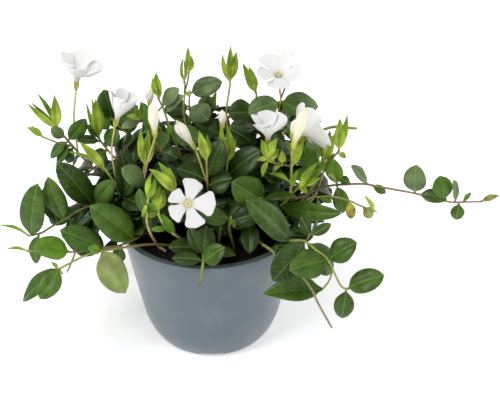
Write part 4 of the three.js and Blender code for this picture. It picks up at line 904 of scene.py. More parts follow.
class Growth:
    """Grows every route, flower seat and blade, in the same order as the solids."""

    def __init__(self, view: View, fill: Filling) -> None:
        """Keeps the view and the filling rule, and starts bare.

        Args:
            view: the picture's view.
            fill: the rule for the filling shoots.
        """
        self.view = view
        self.fill = fill
        self.room = Room()
        self.stems: dict[str, Stem] = {}
        self.blades: list[Blade] = []
        self.roots: list[Array] = []
        self.shown: list[Array] = []

    def tried(self, knots: Array, group: str) -> tuple[Array, float]:
        """The smooth route through the knots, with its room."""
        fine = evened(smooth(knots, SPLINE_STEPS), STEM_STEP)
        return fine, min(self.room.left(fine, group, STEM_ROOM), holder_room(fine[2:]))

    def place_route(self, shoot: Shoot | Flower, group: str) -> Stem:
        """Places a route, nudged in depth as a whole until it is clear of the stems before it.

        Args:
            shoot: the shoot or the flower.
            group: the shoot that it is one piece with.

        Returns:
            Its stem.
        """
        path, below, start = shoot.path, np.zeros((0, 3)), None
        if isinstance(shoot.root, str):
            parent = self.stems[shoot.root]
            origin = onto(parent.thin, self.nearest(parent.fine, *path[0][:2]))
            path = path[1:]
        else:
            start = self.view.behind(*shoot.root, SOIL.level, axis=2)
            origin = np.array([start[0], start[1], SOIL.level + COLLAR])
            below = np.array([[start[0], start[1], SOIL.level - SOIL.stem_depth]])
        nudged = (
            np.array([origin, *(self.view.behind(c, r, y + nudge) for c, r, y in path)])
            for nudge in STEM_NUDGES
        )
        fine, _ = clearest(self.tried(knots, group) for knots in nudged)
        self.room.add(group, Kind.STEM, fine)
        thin = np.vstack([below, thinned(fine, STEM_SLACK)])
        return Stem(group, shoot.name, fine, thin, shoot.girth, start)

    def nearest(self, route: Array, column: float, row: float) -> Array:
        """The point of a route that the picture shows nearest to a column and a row."""
        seen = self.view.seen(route)
        return route[np.argmin(np.hypot(seen[:, 0] - column, seen[:, 1] - row))]

    def place_leaf(self, base: Array, tip: Sequence[float], label: tuple) -> None:
        """Places a leaf by its base on the shoot and its tip on the picture.

        It is the first of the nudged blades that is clear, or the clearest.

        Args:
            base: where the leaf leaves the stem.
            tip: the tip's column and row, how much nearer it is, the width and the turn.
            label: the shoot's name, the kind of leaf and its number.
        """
        column, row, nearer, width, turn = tip
        group, young = self.stems[label[0]].group, label[1] != "leaf"
        blades = (
            Blade(
                base, self.view.behind(column, row, base[1] - nearer - depth), width, turn + twist,
                young, group=group, label=label,
            )
            for depth, twist in (YOUNG_NUDGES if young else LEAF_NUDGES)
        )
        sampled = ((blade, blade.samples()) for blade in blades)
        (best, points), _ = clearest(
            (pair, min(self.room.left(pair[1], group, LEAF_ROOM), holder_room(pair[1])))
            for pair in sampled
        )
        self.room.add(group, Kind.YOUNG if young else Kind.LEAF, points)
        self.shown.append(self.view.seen(points))
        self.blades.append(best)

    def arcs(self) -> list[tuple[float, Arc, float]]:
        """Lists the filling shoots, the short ones last.

        Returns:
            Each one's heading, its family and its growth.
        """
        fill = self.fill
        rows = []
        for i in range(fill.arching):
            arc = fill.hang if i % 2 else fill.arch
            rows.append((fill.headings, i / (fill.arching - 1), arc, fill.arch_seed + i))
        for i in range(fill.short):
            rows.append((fill.low_headings, i / (fill.short - 1), fill.low, fill.low_seed + i))
        return [(between(pair, at), arc, between(fill.growth, draw(k))) for pair, at, arc, k in rows]

    def swung(self, ways: Array, heading: float, group: str) -> tuple[Array, float]:
        """Tries a filling shoot at a heading.

        Args:
            ways: its knots' ways out and up.
            heading: the heading in degrees.
            group: its group.

        Returns:
            The route and its room.
        """
        angle = math.radians(heading)
        out, up = ways.T
        knots = np.stack([out * math.cos(angle), out * math.sin(angle), SOIL.level + up], axis=1)
        fine, room = self.tried(knots, group)
        apart = [math.hypot(*(r[:2] - fine[0][:2])) - CLEAR.root for r in self.roots]
        return fine, min(room, *apart)

    def place_filling(self, heading: float, arc: Arc, grow: float, group: str) -> Stem | None:
        """Swings a filling shoot round the pot until it is clear of the stems before it.

        Args:
            heading: its first heading.
            arc: its family.
            grow: how high it grows against its family.
            group: its group.

        Returns:
            Its stem, or None where there is no room for it.
        """
        width = arc.reach - arc.root
        knots = [(arc.root + width * out, arc.rise * up * grow) for out, up in arc.knots]
        ways = np.array([(arc.root, COLLAR), *knots])
        fine, room = clearest(self.swung(ways, heading + swing, group) for swing in self.fill.swings)
        self.roots.append(fine[0])
        if room < -CLEAR.slack:
            return None
        self.room.add(group, Kind.STEM, fine)
        return Stem(group, group, fine, thinned(fine, STEM_SLACK), self.fill.girth, fine[0])

    def spoils(self, points: Array) -> bool:
        """Whether a leaf would leave the mound's outline or hide what the picture shows.

        Args:
            points: the leaf's points.

        Returns:
            True if it would.
        """
        seen = self.view.seen(points)
        low_down = (seen[:, 2] < self.view.distance) & (seen[:, 1] > self.fill.front_row)
        if low_down.any() or not in_mound(seen[:, 0], seen[:, 1]).all():
            return True
        cover, shown = self.fill.cover, self.all_shown
        low, high = seen.min(axis=0)[:2] - cover, seen.max(axis=0)[:2] + cover
        near = shown[((shown[:, :2] > low) & (shown[:, :2] < high)).all(axis=1)]
        apart = np.abs(near[:, None, :2] - seen[None, :, :2])
        hidden = (apart < cover).all(axis=2) & (seen[None, :, 2] < near[:, None, 2] - self.fill.behind)
        return bool(hidden.any())

    def pairs_on(self, stem: Stem, seed: int, node_step: float, wanted: Array = LEAF_ROOM) -> list[Blade]:
        """Pairs of leaves along a shoot, wherever they are clear and spoil nothing.

        Args:
            stem: the shoot's stem.
            seed: where its draws start.
            node_step: the way from pair to pair.
            wanted: the clearances that they keep.

        Returns:
            The leaves that found room.
        """
        leaves, fine = [], stem.fine
        steps = np.linalg.norm(np.diff(fine, axis=0), axis=1)
        way = node_step - self.fill.first_node
        for i in range(1, len(fine)):
            way += steps[i - 1]
            if way < node_step and i + 2 < len(fine):
                continue
            way = 0
            base = onto(stem.thin, fine[min(i, len(fine) - 2)])
            along = unit(fine[i] - fine[max(i - 2, 0)])
            up = np.array([0, 0, 1.0]) - along * along[2]
            if np.linalg.norm(up) < self.fill.upright:
                flat = np.array([base[0], base[1], 0])
                up = flat - along * (along @ flat)
            up = unit(up)
            for hand in (-1, 1):
                drawn = seed + self.fill.step_seed * i + hand
                leaf = self.pair_leaf(stem.group, base, along, up, hand, drawn, wanted)
                if leaf:
                    self.room.add(stem.group, Kind.LEAF, leaf.samples())
                    leaves.append(leaf)
        return leaves

    def pair_leaf(
        self, group: str, base: Array, along: Array, up: Array, hand: int, seed: int, wanted: Array
    ) -> Blade | None:
        """One leaf of a pair: the first of its rolls and leans that is clear, or none.

        Args:
            group: the shoot's group.
            base: where the leaf leaves the stem.
            along: the way of the stem there.
            up: the way up from the stem.
            hand: -1 or 1, the side that it stands on.
            seed: where its draws start.
            wanted: the clearances that it keeps.

        Returns:
            The blade, or None where there is no room for it.
        """
        fill = self.fill
        length = between(fill.leaf_length, draw(seed + fill.length_seed))
        width = length * fill.leaf_width
        outwards = np.array([fill.outwards * base[0], fill.outwards * base[1], 1])
        turn = fill.turn_play * (draw(seed + fill.turn_seed) - 0.5)
        play = fill.roll_play * (draw(seed + fill.roll_seed) - 0.5)
        side = cross(along, up)
        for roll in fill.rolls:
            turned = math.radians(roll + play)
            for lean in fill.leans:
                way = unit(side * hand * math.cos(turned) + up * math.sin(turned) + along * lean)
                blade = Blade(base, base + way * length, width, turn, towards=outwards, group=group)
                samples = blade.samples()
                clear = holder_room(samples) >= 0 and self.room.left(samples, group, wanted) >= 0
                if clear and not self.spoils(samples):
                    return blade
        return None

    def grow(self) -> None:
        """Grows all routes, then blooms and young tufts, then leaves, then the filling."""
        groups: dict[str, str] = {}
        for shoot in (*SHOOTS, *FLOWERS):
            groups[shoot.name] = groups[shoot.root] if isinstance(shoot.root, str) else shoot.name
            stem = self.place_route(shoot, groups[shoot.name])
            self.stems[shoot.name] = stem
            if stem.start is not None:
                self.roots.append(stem.start)
        for flower in FLOWERS:
            points = coarse_flower(self.stems[flower.name].fine[-1], flower)
            self.room.add(flower.name, Kind.BLOOM, points)
            self.shown.append(self.view.seen(points))
        for shoot in SHOOTS:
            stem = self.stems[shoot.name]
            end = stem.fine[-1]
            for k, tip in enumerate(shoot.tuft):
                set_back = (stem.fine[-2 - k // 2] - end) * TUFT_SET_BACK
                self.place_leaf(onto(stem.thin, end + set_back), tip, (shoot.name, "tuft", k))
        for shoot in SHOOTS:
            stem = self.stems[shoot.name]
            for k, (column, row, *tip) in enumerate(shoot.leaves):
                base = onto(stem.thin, self.nearest(stem.fine[1:-1], column, row))
                self.place_leaf(base, tip, (shoot.name, "leaf", k))
        self.all_shown = np.vstack(self.shown)
        filled = []
        for index, (heading, arc, grow) in enumerate(self.arcs()):
            stem = self.place_filling(heading, arc, grow, f"inner_{index + 1:02d}")
            if stem:
                filled.append((stem, self.fill.shoot_seed * index))
        for stem, seed in filled:
            leaves = self.pairs_on(stem, seed, self.fill.node_step)
            if leaves:
                self.stems[stem.name] = stem
                self.blades += leaves
        for index, shoot in enumerate(SHOOTS):
            seed = self.fill.extra_seed + self.fill.shoot_seed * index
            self.blades += self.pairs_on(self.stems[shoot.name], seed, self.fill.extra_step)

    def thicken(self) -> None:
        """Fills the gaps of the mound with finer, closer leaves than the solids hold.

        They leave the read stems bare in front, where the picture shows them over the soil.
        """
        late = self.place_route(LATE_BUD, self.stems[LATE_BUD.root].group)
        self.room.add(late.group, Kind.BLOOM, coarse_flower(late.fine[-1], LATE_BUD))
        for name, rows in SIDE_BLADES.items():
            stem = self.stems[name]
            for column, row, *tip in rows:
                base = onto(stem.thin, self.nearest(stem.fine, column, row))
                self.place_leaf(base, tip, (name, "side", row))
        read = np.vstack([self.view.seen(self.stems[shoot.name].fine) for shoot in SHOOTS])
        bare = np.zeros(len(read), bool)
        for column, row in self.fill.bare:
            bare |= (read[:, 0] > column) & (read[:, 1] > row)
        self.all_shown = np.vstack([*self.shown, read[bare]])
        for index, stem in enumerate(list(self.stems.values())):
            seed = self.fill.under_seed + self.fill.shoot_seed * index
            for leaf in self.pairs_on(stem, seed, self.fill.under_step, UNDER_ROOM):
                leaf.label = ("under",)
                self.blades.append(leaf)
        self.stems[LATE_BUD.name] = late


def in_mound(columns: Array, rows: Array) -> Array:
    """Whether points lie inside the mound's outline, by counting its crossings.

    Args:
        columns: their columns in the picture.
        rows: their rows.

    Returns:
        True or False for each.
    """
    start, end = MOUND, np.roll(MOUND, 1, axis=0)
    crosses = (start[:, 1] > rows[:, None]) != (end[:, 1] > rows[:, None])
    drop = np.where(end[:, 1] == start[:, 1], 1, end[:, 1] - start[:, 1])
    at = (end[:, 0] - start[:, 0]) * (rows[:, None] - start[:, 1]) / drop + start[:, 0]
    return (crosses & (columns[:, None] < at)).sum(axis=1) % 2 == 1


@dataclass(frozen=True)
class FlowerSizes:
    """The sizes of a flower's tube, lobes and calyx, the same as the solid's."""

    lobes: int = 5
    tube: float = 11
    mouth: float = 2.3
    sheet: float = 1.3
    recurve: float = 9
    widest: float = 92
    seat: float = 0.95
    twist: float = 1.4
    outline: tuple = ((-36, 0.26), (-29, 0.84), (5, 1), (28, 0.86))
    closed: tuple = ((0, 0.4), (0.2, 0.55), (0.5, 1), (0.8, 0.85), (1, 0))
    half_open: tuple = ((0, 0.24), (0.25, 0.45), (0.55, 0.92), (0.82, 1.08), (1, 0.98), (0.7, 0))
    closed_sides: int = 5
    half_open_sides: int = 8


PARTS = FlowerSizes()


def round_axis(seat: Array, aim: Sequence[float], angle: Array, radius: Array, height: Array) -> Array:
    """Points round an axis.

    Args:
        seat: where the axis starts.
        aim: where it points.
        angle: the angles round it.
        radius: the distances from it.
        height: the ways along it.

    Returns:
        The points, in the shape that the last three have together.
    """
    w = unit(np.array(aim, float))
    u = unit(np.array([1.0, 0, 0]) - w * w[0])
    v = np.cross(w, u)
    angle, radius, height = (part[..., None] for part in np.broadcast_arrays(angle, radius, height))
    return seat + height * w + (radius * np.cos(angle)) * u + (radius * np.sin(angle)) * v


def bud_height(flower: Flower, share: Array) -> Array:
    """The height at a share of a bud's length."""
    return PARTS.seat + share * (flower.length - PARTS.seat)


def coarse_flower(seat: Array, flower: Flower) -> Array:
    """The points of a flower's coarse solid, which the leaves keep clear of.

    Args:
        seat: where the flower stands.
        flower: the flower.

    Returns:
        The points.
    """
    if flower.stage is not Stage.OPEN:
        closed = flower.stage is Stage.CLOSED
        sides = PARTS.closed_sides if closed else PARTS.half_open_sides
        points = []
        for share, radius in (PARTS.closed if closed else PARTS.half_open)[1:]:
            angle = 2 * np.pi * np.arange(sides if radius else 1) / sides + PARTS.twist * share
            height = bud_height(flower, share)
            points.append(round_axis(seat, flower.aim, angle, radius * flower.size, height))
        return np.vstack(points)
    lobes = 360 / PARTS.lobes * np.arange(PARTS.lobes)
    degrees, shares = np.array(PARTS.outline).T
    angle = np.radians(lobes[:, None] + degrees + flower.turn).ravel()
    half = np.tile(shares * flower.size, PARTS.lobes) / 2
    mouth = PARTS.seat + PARTS.tube
    early = math.radians(flower.spread)
    late = math.radians(min(flower.spread + PARTS.recurve, PARTS.widest))
    out, up = math.sin(early), math.cos(early)
    rings = [
        (PARTS.mouth + PARTS.sheet * up, mouth - PARTS.sheet * out),
        (PARTS.mouth + half * (out + math.sin(late)), mouth + half * (up + math.cos(late))),
        (PARTS.mouth + half * out, mouth + half * up),
    ]
    return np.vstack([round_axis(seat, flower.aim, angle, r, h) for r, h in rings])


# Finishes.


class Node(Enum):
    """A node: its type, the inputs that it is given in order, its output and its one setting."""

    RANGE = (
        "MapRange", ("Value", "From Min", "From Max", "To Min", "To Max"), 0,
        ("interpolation_type", "SMOOTHSTEP"),
    )
    MIX = ("Mix", (0, 6, 7), 2, ("data_type", "RGBA"))
    TIMES = ("Math", (0, 1), 0, ("operation", "MULTIPLY"))
    PLUS = ("Math", (0, 1), 0, ("operation", "ADD"))
    FOLD = ("Math", (0, 1), 0, ("operation", "PINGPONG"))
    BRIGHTEN = ("HueSaturation", ("Color", "Value"), 0, None)
    NOISE = ("TexNoise", ("Vector", "Scale", "Detail"), "Fac", None)
    COORDS = ("TexCoord", (), "Object", None)
    BUMP = ("Bump", ("Strength", "Distance", "Height"), 0, None)
    TINT = ("Attribute", (), "Color", ("attribute_name", "tint"))
    YOUTH = ("Attribute", (), "Alpha", ("attribute_name", "tint"))
    RIB = ("Attribute", (), "Vector", ("attribute_name", "rib"))
    FIRST = ("SeparateXYZ", (0,), 0, None)
    SECOND = ("SeparateXYZ", (0,), 1, None)
    THIRD = ("SeparateXYZ", (0,), 2, None)


def feed(tree: bpy.types.NodeTree, node: bpy.types.Node, inputs: dict[str | int, Any]) -> None:
    """Sets a node's inputs to values, or links them to sockets.

    Args:
        tree: the nodes that it belongs to.
        node: the node.
        inputs: a value or a socket for each named or numbered input.
    """
    for key, value in inputs.items():
        if isinstance(value, Socket):
            tree.links.new(value, node.inputs[key])
        else:
            node.inputs[key].default_value = value


def add_node(tree: bpy.types.NodeTree, kind: Node, *given: Any) -> Socket:
    """Adds a node with its setting and its inputs' values or links.

    Args:
        tree: the material's nodes.
        kind: what it is.
        given: a value, or a socket to link, for each of its inputs in order.

    Returns:
        Its output.
    """
    name, inputs, output, setting = kind.value
    node = tree.nodes.new("ShaderNode" + name)
    if setting:
        setattr(node, *setting)
    feed(tree, node, dict(zip(inputs, given)))
    return node.outputs[output]


Adder = Callable[..., Socket]


def grain(add: Adder, size: float, detail: float = 2.0) -> Socket:
    """Noise in the object's own coordinates whose blotches are about size millimetres wide."""
    return add(Node.NOISE, add(Node.COORDS), 1 / (size * MM), detail)


@dataclass(frozen=True)
class Finish:
    """A finish: the shader's values that are the same all over, and its pattern."""

    name: str
    roughness: float
    specular: float = 0.5
    coat: float = 0.0
    subsurface: float = 0.0

    def material(self) -> bpy.types.Material:
        """The finish's material, made at its first use.

        Returns:
            The material.
        """
        made = bpy.data.materials.get(self.name)
        if made:
            return made
        made = bpy.data.materials.new(self.name)
        made.use_nodes = True
        tree = made.node_tree
        values = {
            "Roughness": self.roughness,
            "Specular IOR Level": self.specular,
            "Coat Weight": self.coat,
            "Coat Roughness": 0.25,
            "Subsurface Weight": self.subsurface,
            "Subsurface Radius": (1, 1, 0.8),
            "Subsurface Scale": 1.2 * MM,
        }
        feed(tree, tree.nodes["Principled BSDF"], values | self.paint(partial(add_node, tree)))
        return made

    def paint(self, add: Adder) -> dict[str, Any]:
        """The finish's own pattern, as the shader's inputs that it feeds."""
        return {}


@dataclass(frozen=True)
class LeafCuticle(Finish):
    """Waxy cuticle over a leathery evergreen blade, pale along the midrib and below."""

    name: str = "leaf_cuticle"
    roughness: float = 0.33
    specular: float = 0.24
    subsurface: float = 0.04
    midrib: str = "#7fa24a"
    below: str = "#8fae66"
    fleck: str = "#5c4520"

    def paint(self, add: Adder) -> dict[str, Any]:
        """Mottles the tint, draws the midrib and side veins, and pales the underside.

        Args:
            add: adds a node.

        Returns:
            The shader's inputs that it feeds.
        """
        youth, rib = add(Node.YOUTH), add(Node.RIB)
        apart, phase, under = (add(part, rib) for part in (Node.FIRST, Node.SECOND, Node.THIRD))
        mottle = add(Node.RANGE, grain(add, 7), 0.3, 0.7, 0.74, 1.24)
        spots = add(Node.RANGE, grain(add, 1.7), 0.57, 0.63, 0, 1)
        spots = add(Node.TIMES, spots, add(Node.RANGE, youth, 1, 2, 0, 1))
        base = add(Node.MIX, spots, add(Node.BRIGHTEN, add(Node.TINT), mottle), linear(self.fleck))
        middle = add(Node.RANGE, apart, 0.08, 0.46, 0.9, 0)
        vein = add(Node.RANGE, add(Node.FOLD, phase, 0.5), 0.0, 0.09, 1, 0)
        side = add(Node.TIMES, vein, add(Node.RANGE, apart, 3, 9, 0.18, 0.05))
        strong = add(Node.TIMES, middle, add(Node.RANGE, youth, 0, 1, 0.5, 0.22))
        veined = add(Node.MIX, strong, base, linear(self.midrib))
        veined = add(Node.MIX, side, veined, linear(self.midrib))
        faded = add(Node.MIX, 0.32, base, linear(self.below))
        sunk = add(Node.TIMES, add(Node.PLUS, middle, side), -1.0)
        dimple = add(Node.PLUS, sunk, grain(add, 1.6))
        return {
            "Base Color": add(Node.MIX, under, veined, faded),
            "Roughness": add(Node.RANGE, youth, 0, 1, self.roughness, 0.5),
            "Normal": add(Node.BUMP, 0.35, 0.25 * MM, dimple),
        }


@dataclass(frozen=True)
class StemSkin(Finish):
    """Wiry green stem skin, reddened by light and streaked with brown along older wood."""

    name: str = "stem_skin"
    roughness: float = 0.55
    specular: float = 0.4

    def paint(self, add: Adder) -> dict[str, Any]:
        """Mottles the stem's tint with small darker streaks.

        Args:
            add: adds a node.

        Returns:
            The shader's inputs that it feeds.
        """
        mottle = add(Node.RANGE, grain(add, 2.2), 0.3, 0.7, 0.78, 1.18)
        return {
            "Base Color": add(Node.BRIGHTEN, add(Node.TINT), mottle),
            "Normal": add(Node.BUMP, 0.3, 0.15 * MM, grain(add, 0.9)),
        }


@dataclass(frozen=True)
class PetalSkin(Finish):
    """Thin matt petal tissue, nearly pure white, with faint veins running out of the throat."""

    name: str = "petal_skin"
    roughness: float = 0.6
    specular: float = 0.3
    subsurface: float = 0.25

    def paint(self, add: Adder) -> dict[str, Any]:
        """Takes the tint and embosses the veins along each lobe.

        Args:
            add: adds a node.

        Returns:
            The shader's inputs that it feeds.
        """
        vein = add(Node.FOLD, add(Node.SECOND, add(Node.RIB)), 0.5)
        height = add(Node.PLUS, vein, grain(add, 1.5))
        return {"Base Color": add(Node.TINT), "Normal": add(Node.BUMP, 0.3, 0.2 * MM, height)}


@dataclass(frozen=True)
class MouldedPot(Finish):
    """Thin injection-moulded polypropylene, blue-grey and matt, with a film of dried splashes."""

    name: str = "moulded_pot"
    roughness: float = 0.4
    specular: float = 0.5
    coat: float = 0.5
    colour: str = "#4e5c66"
    dust: str = "#6c7679"
    # Painted shade on the lip's flat top, from the foliage above it.
    rim: str = "#39433f"

    def paint(self, add: Adder) -> dict[str, Any]:
        """Lays a thin uneven film of dust over the plastic, and paints shade on the lip's flat top, where the
        foliage above darkens it.

        Args:
            add: adds a node.

        Returns:
            The shader's inputs that it feeds.
        """
        film = add(Node.RANGE, grain(add, 26, 4), 0.42, 0.75, 0, 0.35)
        colour = add(Node.MIX, film, linear(self.colour), linear(self.dust))
        height = add(Node.THIRD, add(Node.COORDS))
        # Painted shade: the lip's flat top is darkened towards the rim colour.
        flat = add(Node.RANGE, height, (POT.height - 0.35) * MM, (POT.height - 0.1) * MM, 0, 0.85)
        return {
            "Base Color": add(Node.MIX, flat, colour, linear(self.rim)),
            "Roughness": add(Node.RANGE, grain(add, 40), 0.3, 0.7, 0.42, 0.58),
            "Normal": add(Node.BUMP, 0.12, 0.2 * MM, grain(add, 0.7)),
        }


@dataclass(frozen=True)
class PottingMix(Finish):
    """Damp peat and bark, dark and dull, with paler fibres."""

    name: str = "potting_mix"
    roughness: float = 0.95
    specular: float = 0.15
    dark: str = "#110e09"
    light: str = "#2f261a"

    def paint(self, add: Adder) -> dict[str, Any]:
        """Mixes dark peat with paler bark by the crumb.

        Args:
            add: adds a node.

        Returns:
            The shader's inputs that it feeds.
        """
        share = add(Node.RANGE, grain(add, 2.5, 4), 0.45, 0.72, 0, 1)
        return {
            "Base Color": add(Node.MIX, share, linear(self.dark), linear(self.light)),
            "Normal": add(Node.BUMP, 0.8, 1.2 * MM, grain(add, 1.4, 4)),
        }


@dataclass(frozen=True)
class StudioPaper(Finish):
    """Seamless white background paper, matt and evenly lit."""

    name: str = "studio_paper"
    roughness: float = 0.9
    specular: float = 0.1
    white: str = "#fbfbfb"
    glow: float = 0.34

    def paint(self, add: Adder) -> dict[str, Any]:
        """Gives it one white, lit a little from within as on a light table."""
        white = (1, 1, 1, 1)
        return {"Base Color": linear(self.white), "Emission Color": white, "Emission Strength": self.glow}


# Meshes.


BLACK = np.array(linear("#000000"))


def around(sides: int) -> Array:
    """Even angles once round a circle."""
    return 2 * np.pi * np.arange(sides) / sides


def circle(sides: int, radius: Array | float, height: Array | float = 0.0) -> Array:
    """A ring of points round the z axis. The radius and the height may vary round it."""
    angle = around(sides)
    return np.stack([np.cos(angle) * radius, np.sin(angle) * radius, height + 0 * angle], axis=1)


def tube(rings: Array, ends: tuple[Array | None, Array | None] = (None, None)) -> Skin:
    """A closed skin over rings of points that run counter-clockwise seen from the last ring.

    Args:
        rings: rings by sides by three.
        ends: the poles that close the first and last ring, or None for the rings' middles.

    Returns:
        The points, and the faces as one array of quads and one of triangles.
    """
    count, sides = rings.shape[:2]
    poles = [ring.mean(axis=0) if end is None else end for ring, end in zip(rings[[0, -1]], ends)]
    points = np.vstack([rings.reshape(-1, 3), *poles])
    low = np.arange((count - 1) * sides).reshape(count - 1, sides)
    after = np.roll(low, -1, axis=1)
    quads = np.stack([low, after, after + sides, low + sides], axis=-1)
    foot = np.arange(sides)
    top = foot + (count - 1) * sides
    pole = np.full(sides, count * sides)
    closing = [
        np.stack([pole, np.roll(foot, -1), foot], axis=1),
        np.stack([pole + 1, top, np.roll(top, -1)], axis=1),
    ]
    return points, [quads.reshape(-1, 4), np.vstack(closing)]


def sheet(top: Array, thickness: Array) -> Skin:
    """A thin closed sheet below a grid of points, as thick as it says square to the grid.

    Args:
        top: rows by columns by three. Columns cross rows is the upper side.
        thickness: how thick it is at each point of the grid.

    Returns:
        The points, upper ones first, and the faces.
    """
    rows, columns = top.shape[:2]
    facing = unit(np.cross(np.gradient(top, axis=1), np.gradient(top, axis=0)))
    bottom = top - facing * thickness[..., None]
    index = np.arange(rows * columns).reshape(rows, columns)
    upper = np.stack([index[:-1, :-1], index[:-1, 1:], index[1:, 1:], index[1:, :-1]], axis=-1)
    lower = upper[..., ::-1] + rows * columns
    rim = np.concatenate([index[0, :-1], index[:-1, -1], index[-1, :0:-1], index[:0:-1, 0]])
    after = np.roll(rim, -1)
    border = np.stack([rim, rim + rows * columns, after + rows * columns, after], axis=1)
    points = np.vstack([top.reshape(-1, 3), bottom.reshape(-1, 3)])
    return points, [upper.reshape(-1, 4), lower.reshape(-1, 4), border]


@dataclass
class Shell:
    """A mesh in the making: points in millimetres, faces, and two marks on each point.

    The tint is a colour whose alpha is the youth of a leaf. The rib is the distance from the
    midrib or the axis, the phase of the side veins, and 1 on an underside.
    """

    name: str
    points: list[Array] = field(default_factory=list)
    faces: list[Array] = field(default_factory=list)
    tints: list[Array] = field(default_factory=list)
    ribs: list[Array] = field(default_factory=list)
    count: int = 0

    def add(self, skin: Skin, tint: Array = BLACK, rib: Array | None = None) -> None:
        """Adds a skin.

        Args:
            skin: its points and faces.
            tint: one colour, or one for each point.
            rib: the rib of each point, if a pattern reads it.
        """
        points, faces = skin
        self.points.append(points)
        self.faces += [part + self.count for part in faces]
        self.tints.append(np.broadcast_to(tint, (len(points), 4)))
        self.ribs.append(np.zeros((len(points), 3)) if rib is None else rib)
        self.count += len(points)

    def build(self, finish: Finish) -> Thing:
        """Makes the object, at the origin and in metres.

        Args:
            finish: what it is finished with.

        Returns:
            The object.
        """
        mesh = bpy.data.meshes.new(self.name)
        widths = np.concatenate([np.full(len(part), part.shape[1]) for part in self.faces])
        corners = np.concatenate([part.ravel() for part in self.faces])
        mesh.vertices.add(self.count)
        mesh.loops.add(len(corners))
        mesh.polygons.add(len(widths))
        starts = np.concatenate([[0], np.cumsum(widths)[:-1]])
        mesh.vertices.foreach_set("co", (np.vstack(self.points) * MM).ravel().astype(np.float32))
        mesh.loops.foreach_set("vertex_index", corners.astype(np.int32))
        mesh.polygons.foreach_set("loop_start", starts.astype(np.int32))
        mesh.update(calc_edges=True)
        mesh.validate()
        marks = (("tint", "FLOAT_COLOR", "color", self.tints), ("rib", "FLOAT_VECTOR", "vector", self.ribs))
        for name, kind, key, rows in marks:
            data = mesh.attributes.new(name, kind, "POINT").data
            data.foreach_set(key, np.vstack(rows).ravel().astype(np.float32))
        mesh.shade_smooth()
        mesh.materials.append(finish.material())
        piece = bpy.data.objects.new(self.name, mesh)
        bpy.context.scene.collection.objects.link(piece)
        return piece


def declared(piece: Thing, node: str) -> Thing:
    """Tells the frame what a piece is.

    Args:
        piece: the piece.
        node: the node that it stands for, if any.

    Returns:
        The piece.
    """
    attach(piece, "root")
    if node:
        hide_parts(node)
    return piece


# The pieces.


class Tone(Enum):
    """A leaf's colours by age, with painted shade and sheen for where it lies: the darker and lighter end,
    its youth, and its fading to the tip, with painted shade towards the edge.
    """

    MATURE = ("#314c14", "#4a6a1f", 0.0, 0.0)
    # The next two tones are painted shade, for leaves inside and under the mound; the one after is a painted
    # sheen, lighter and greyer, for leaves on its top.
    DEEP = ("#22340f", "#314914", 0.0, 0.0)
    SHADED = ("#18270c", "#263c10", 0.0, 0.0)
    SHEEN = ("#506638", "#6a7d50", 0.1, 0.0)
    MIDDLE = ("#46701a", "#608622", 0.4, 0.2)
    FRESH = ("#6b8c1c", "#b9ca4e", 1.0, 0.8)
    PALE = ("#7b8544", "#a3a460", 1.3, 0.5)
    YELLOW = ("#8f8f2c", "#c3a944", 2.0, 0.7)


def toned(rows: dict[Tone, str]) -> dict[tuple, Tone]:
    """The tone for the leaves that each row names: a shoot, leaf or tuft, and their numbers."""
    labels = [(tone, *label.split()) for tone, row in rows.items() for label in row.split(",")]
    return {(name, kind, int(k)): tone for tone, name, kind, *numbers in labels for k in numbers}


# The tones of named leaves. Their shade tones are painted shade on leaves inside the mound, and their sheen
# tone is a painted sheen on leaves at its top.
TONES = toned({
    Tone.MATURE: "right_low tuft 0, right_fan_side tuft 0, front_left leaf 0, left_out leaf 3 7",
    Tone.DEEP: "left_out leaf 0 1 5 6, left_middle leaf 0 1, left_brown leaf 2, front_node leaf 0 2 3,"
    "centre_right leaf 1, front_right_big leaf 1, centre_stem leaf 0 1 2, centre_pale leaf 0 1,"
    "back_middle leaf 2 3, top_middle leaf 0, top_hook leaf 0 1, right_low leaf 0,"
    "right_fork leaf 0, right_fan leaf 1",
    Tone.SHEEN: "top_right leaf 0 2 3, back_middle leaf 0 1, back_slim leaf 0, top_left leaf 0 1,"
    "top_hook leaf 2, right_twig leaf 0, right_trail leaf 0 2 5, left_high leaf 1,"
    "left_pale leaf 0, left_brown leaf 1, left_back tuft 0",
    Tone.MIDDLE: "left_inner_low leaf 2, left_low leaf 1, left_brown leaf 0, front_left leaf 1,"
    "front_left_arc leaf 0 1, right_pink leaf 0 1, right_trail leaf 9, top_left leaf 2,"
    "front_left tuft 3, centre_right tuft 0",
    Tone.PALE: "left_low leaf 0, right_short leaf 2, right_trail leaf 10, right_trail tuft 0",
    Tone.YELLOW: "right_short leaf 0",
})

# Where a filling leaf's tone changes: the depth where the painted shade inside the mound gives way to the
# light back, and the end of a stem.
BACK_STARTS, STEM_END = 24, 9


def tone_of(blade: Blade, stems: list[Stem]) -> Tone:
    """The blade's tone: its own if it has one, or the one of its kind and place.

    Args:
        blade: the blade.
        stems: the stems of its shoot.

    Returns:
        For a filling leaf, painted shade inside the mound in front of the light back and on the under leaves,
        and a lighter tone at a stem's end.
    """
    if blade.label in TONES:
        return TONES[blade.label]
    if blade.young:
        return Tone.FRESH
    if len(blade.label) > 1:
        return Tone.MATURE
    if blade.base[1] < BACK_STARTS:
        return Tone.SHADED if blade.label else Tone.DEEP
    if min(np.linalg.norm(stem.fine[-1] - blade.base) for stem in stems) < STEM_END:
        return Tone.MIDDLE
    return Tone.DEEP if blade.label else Tone.MATURE


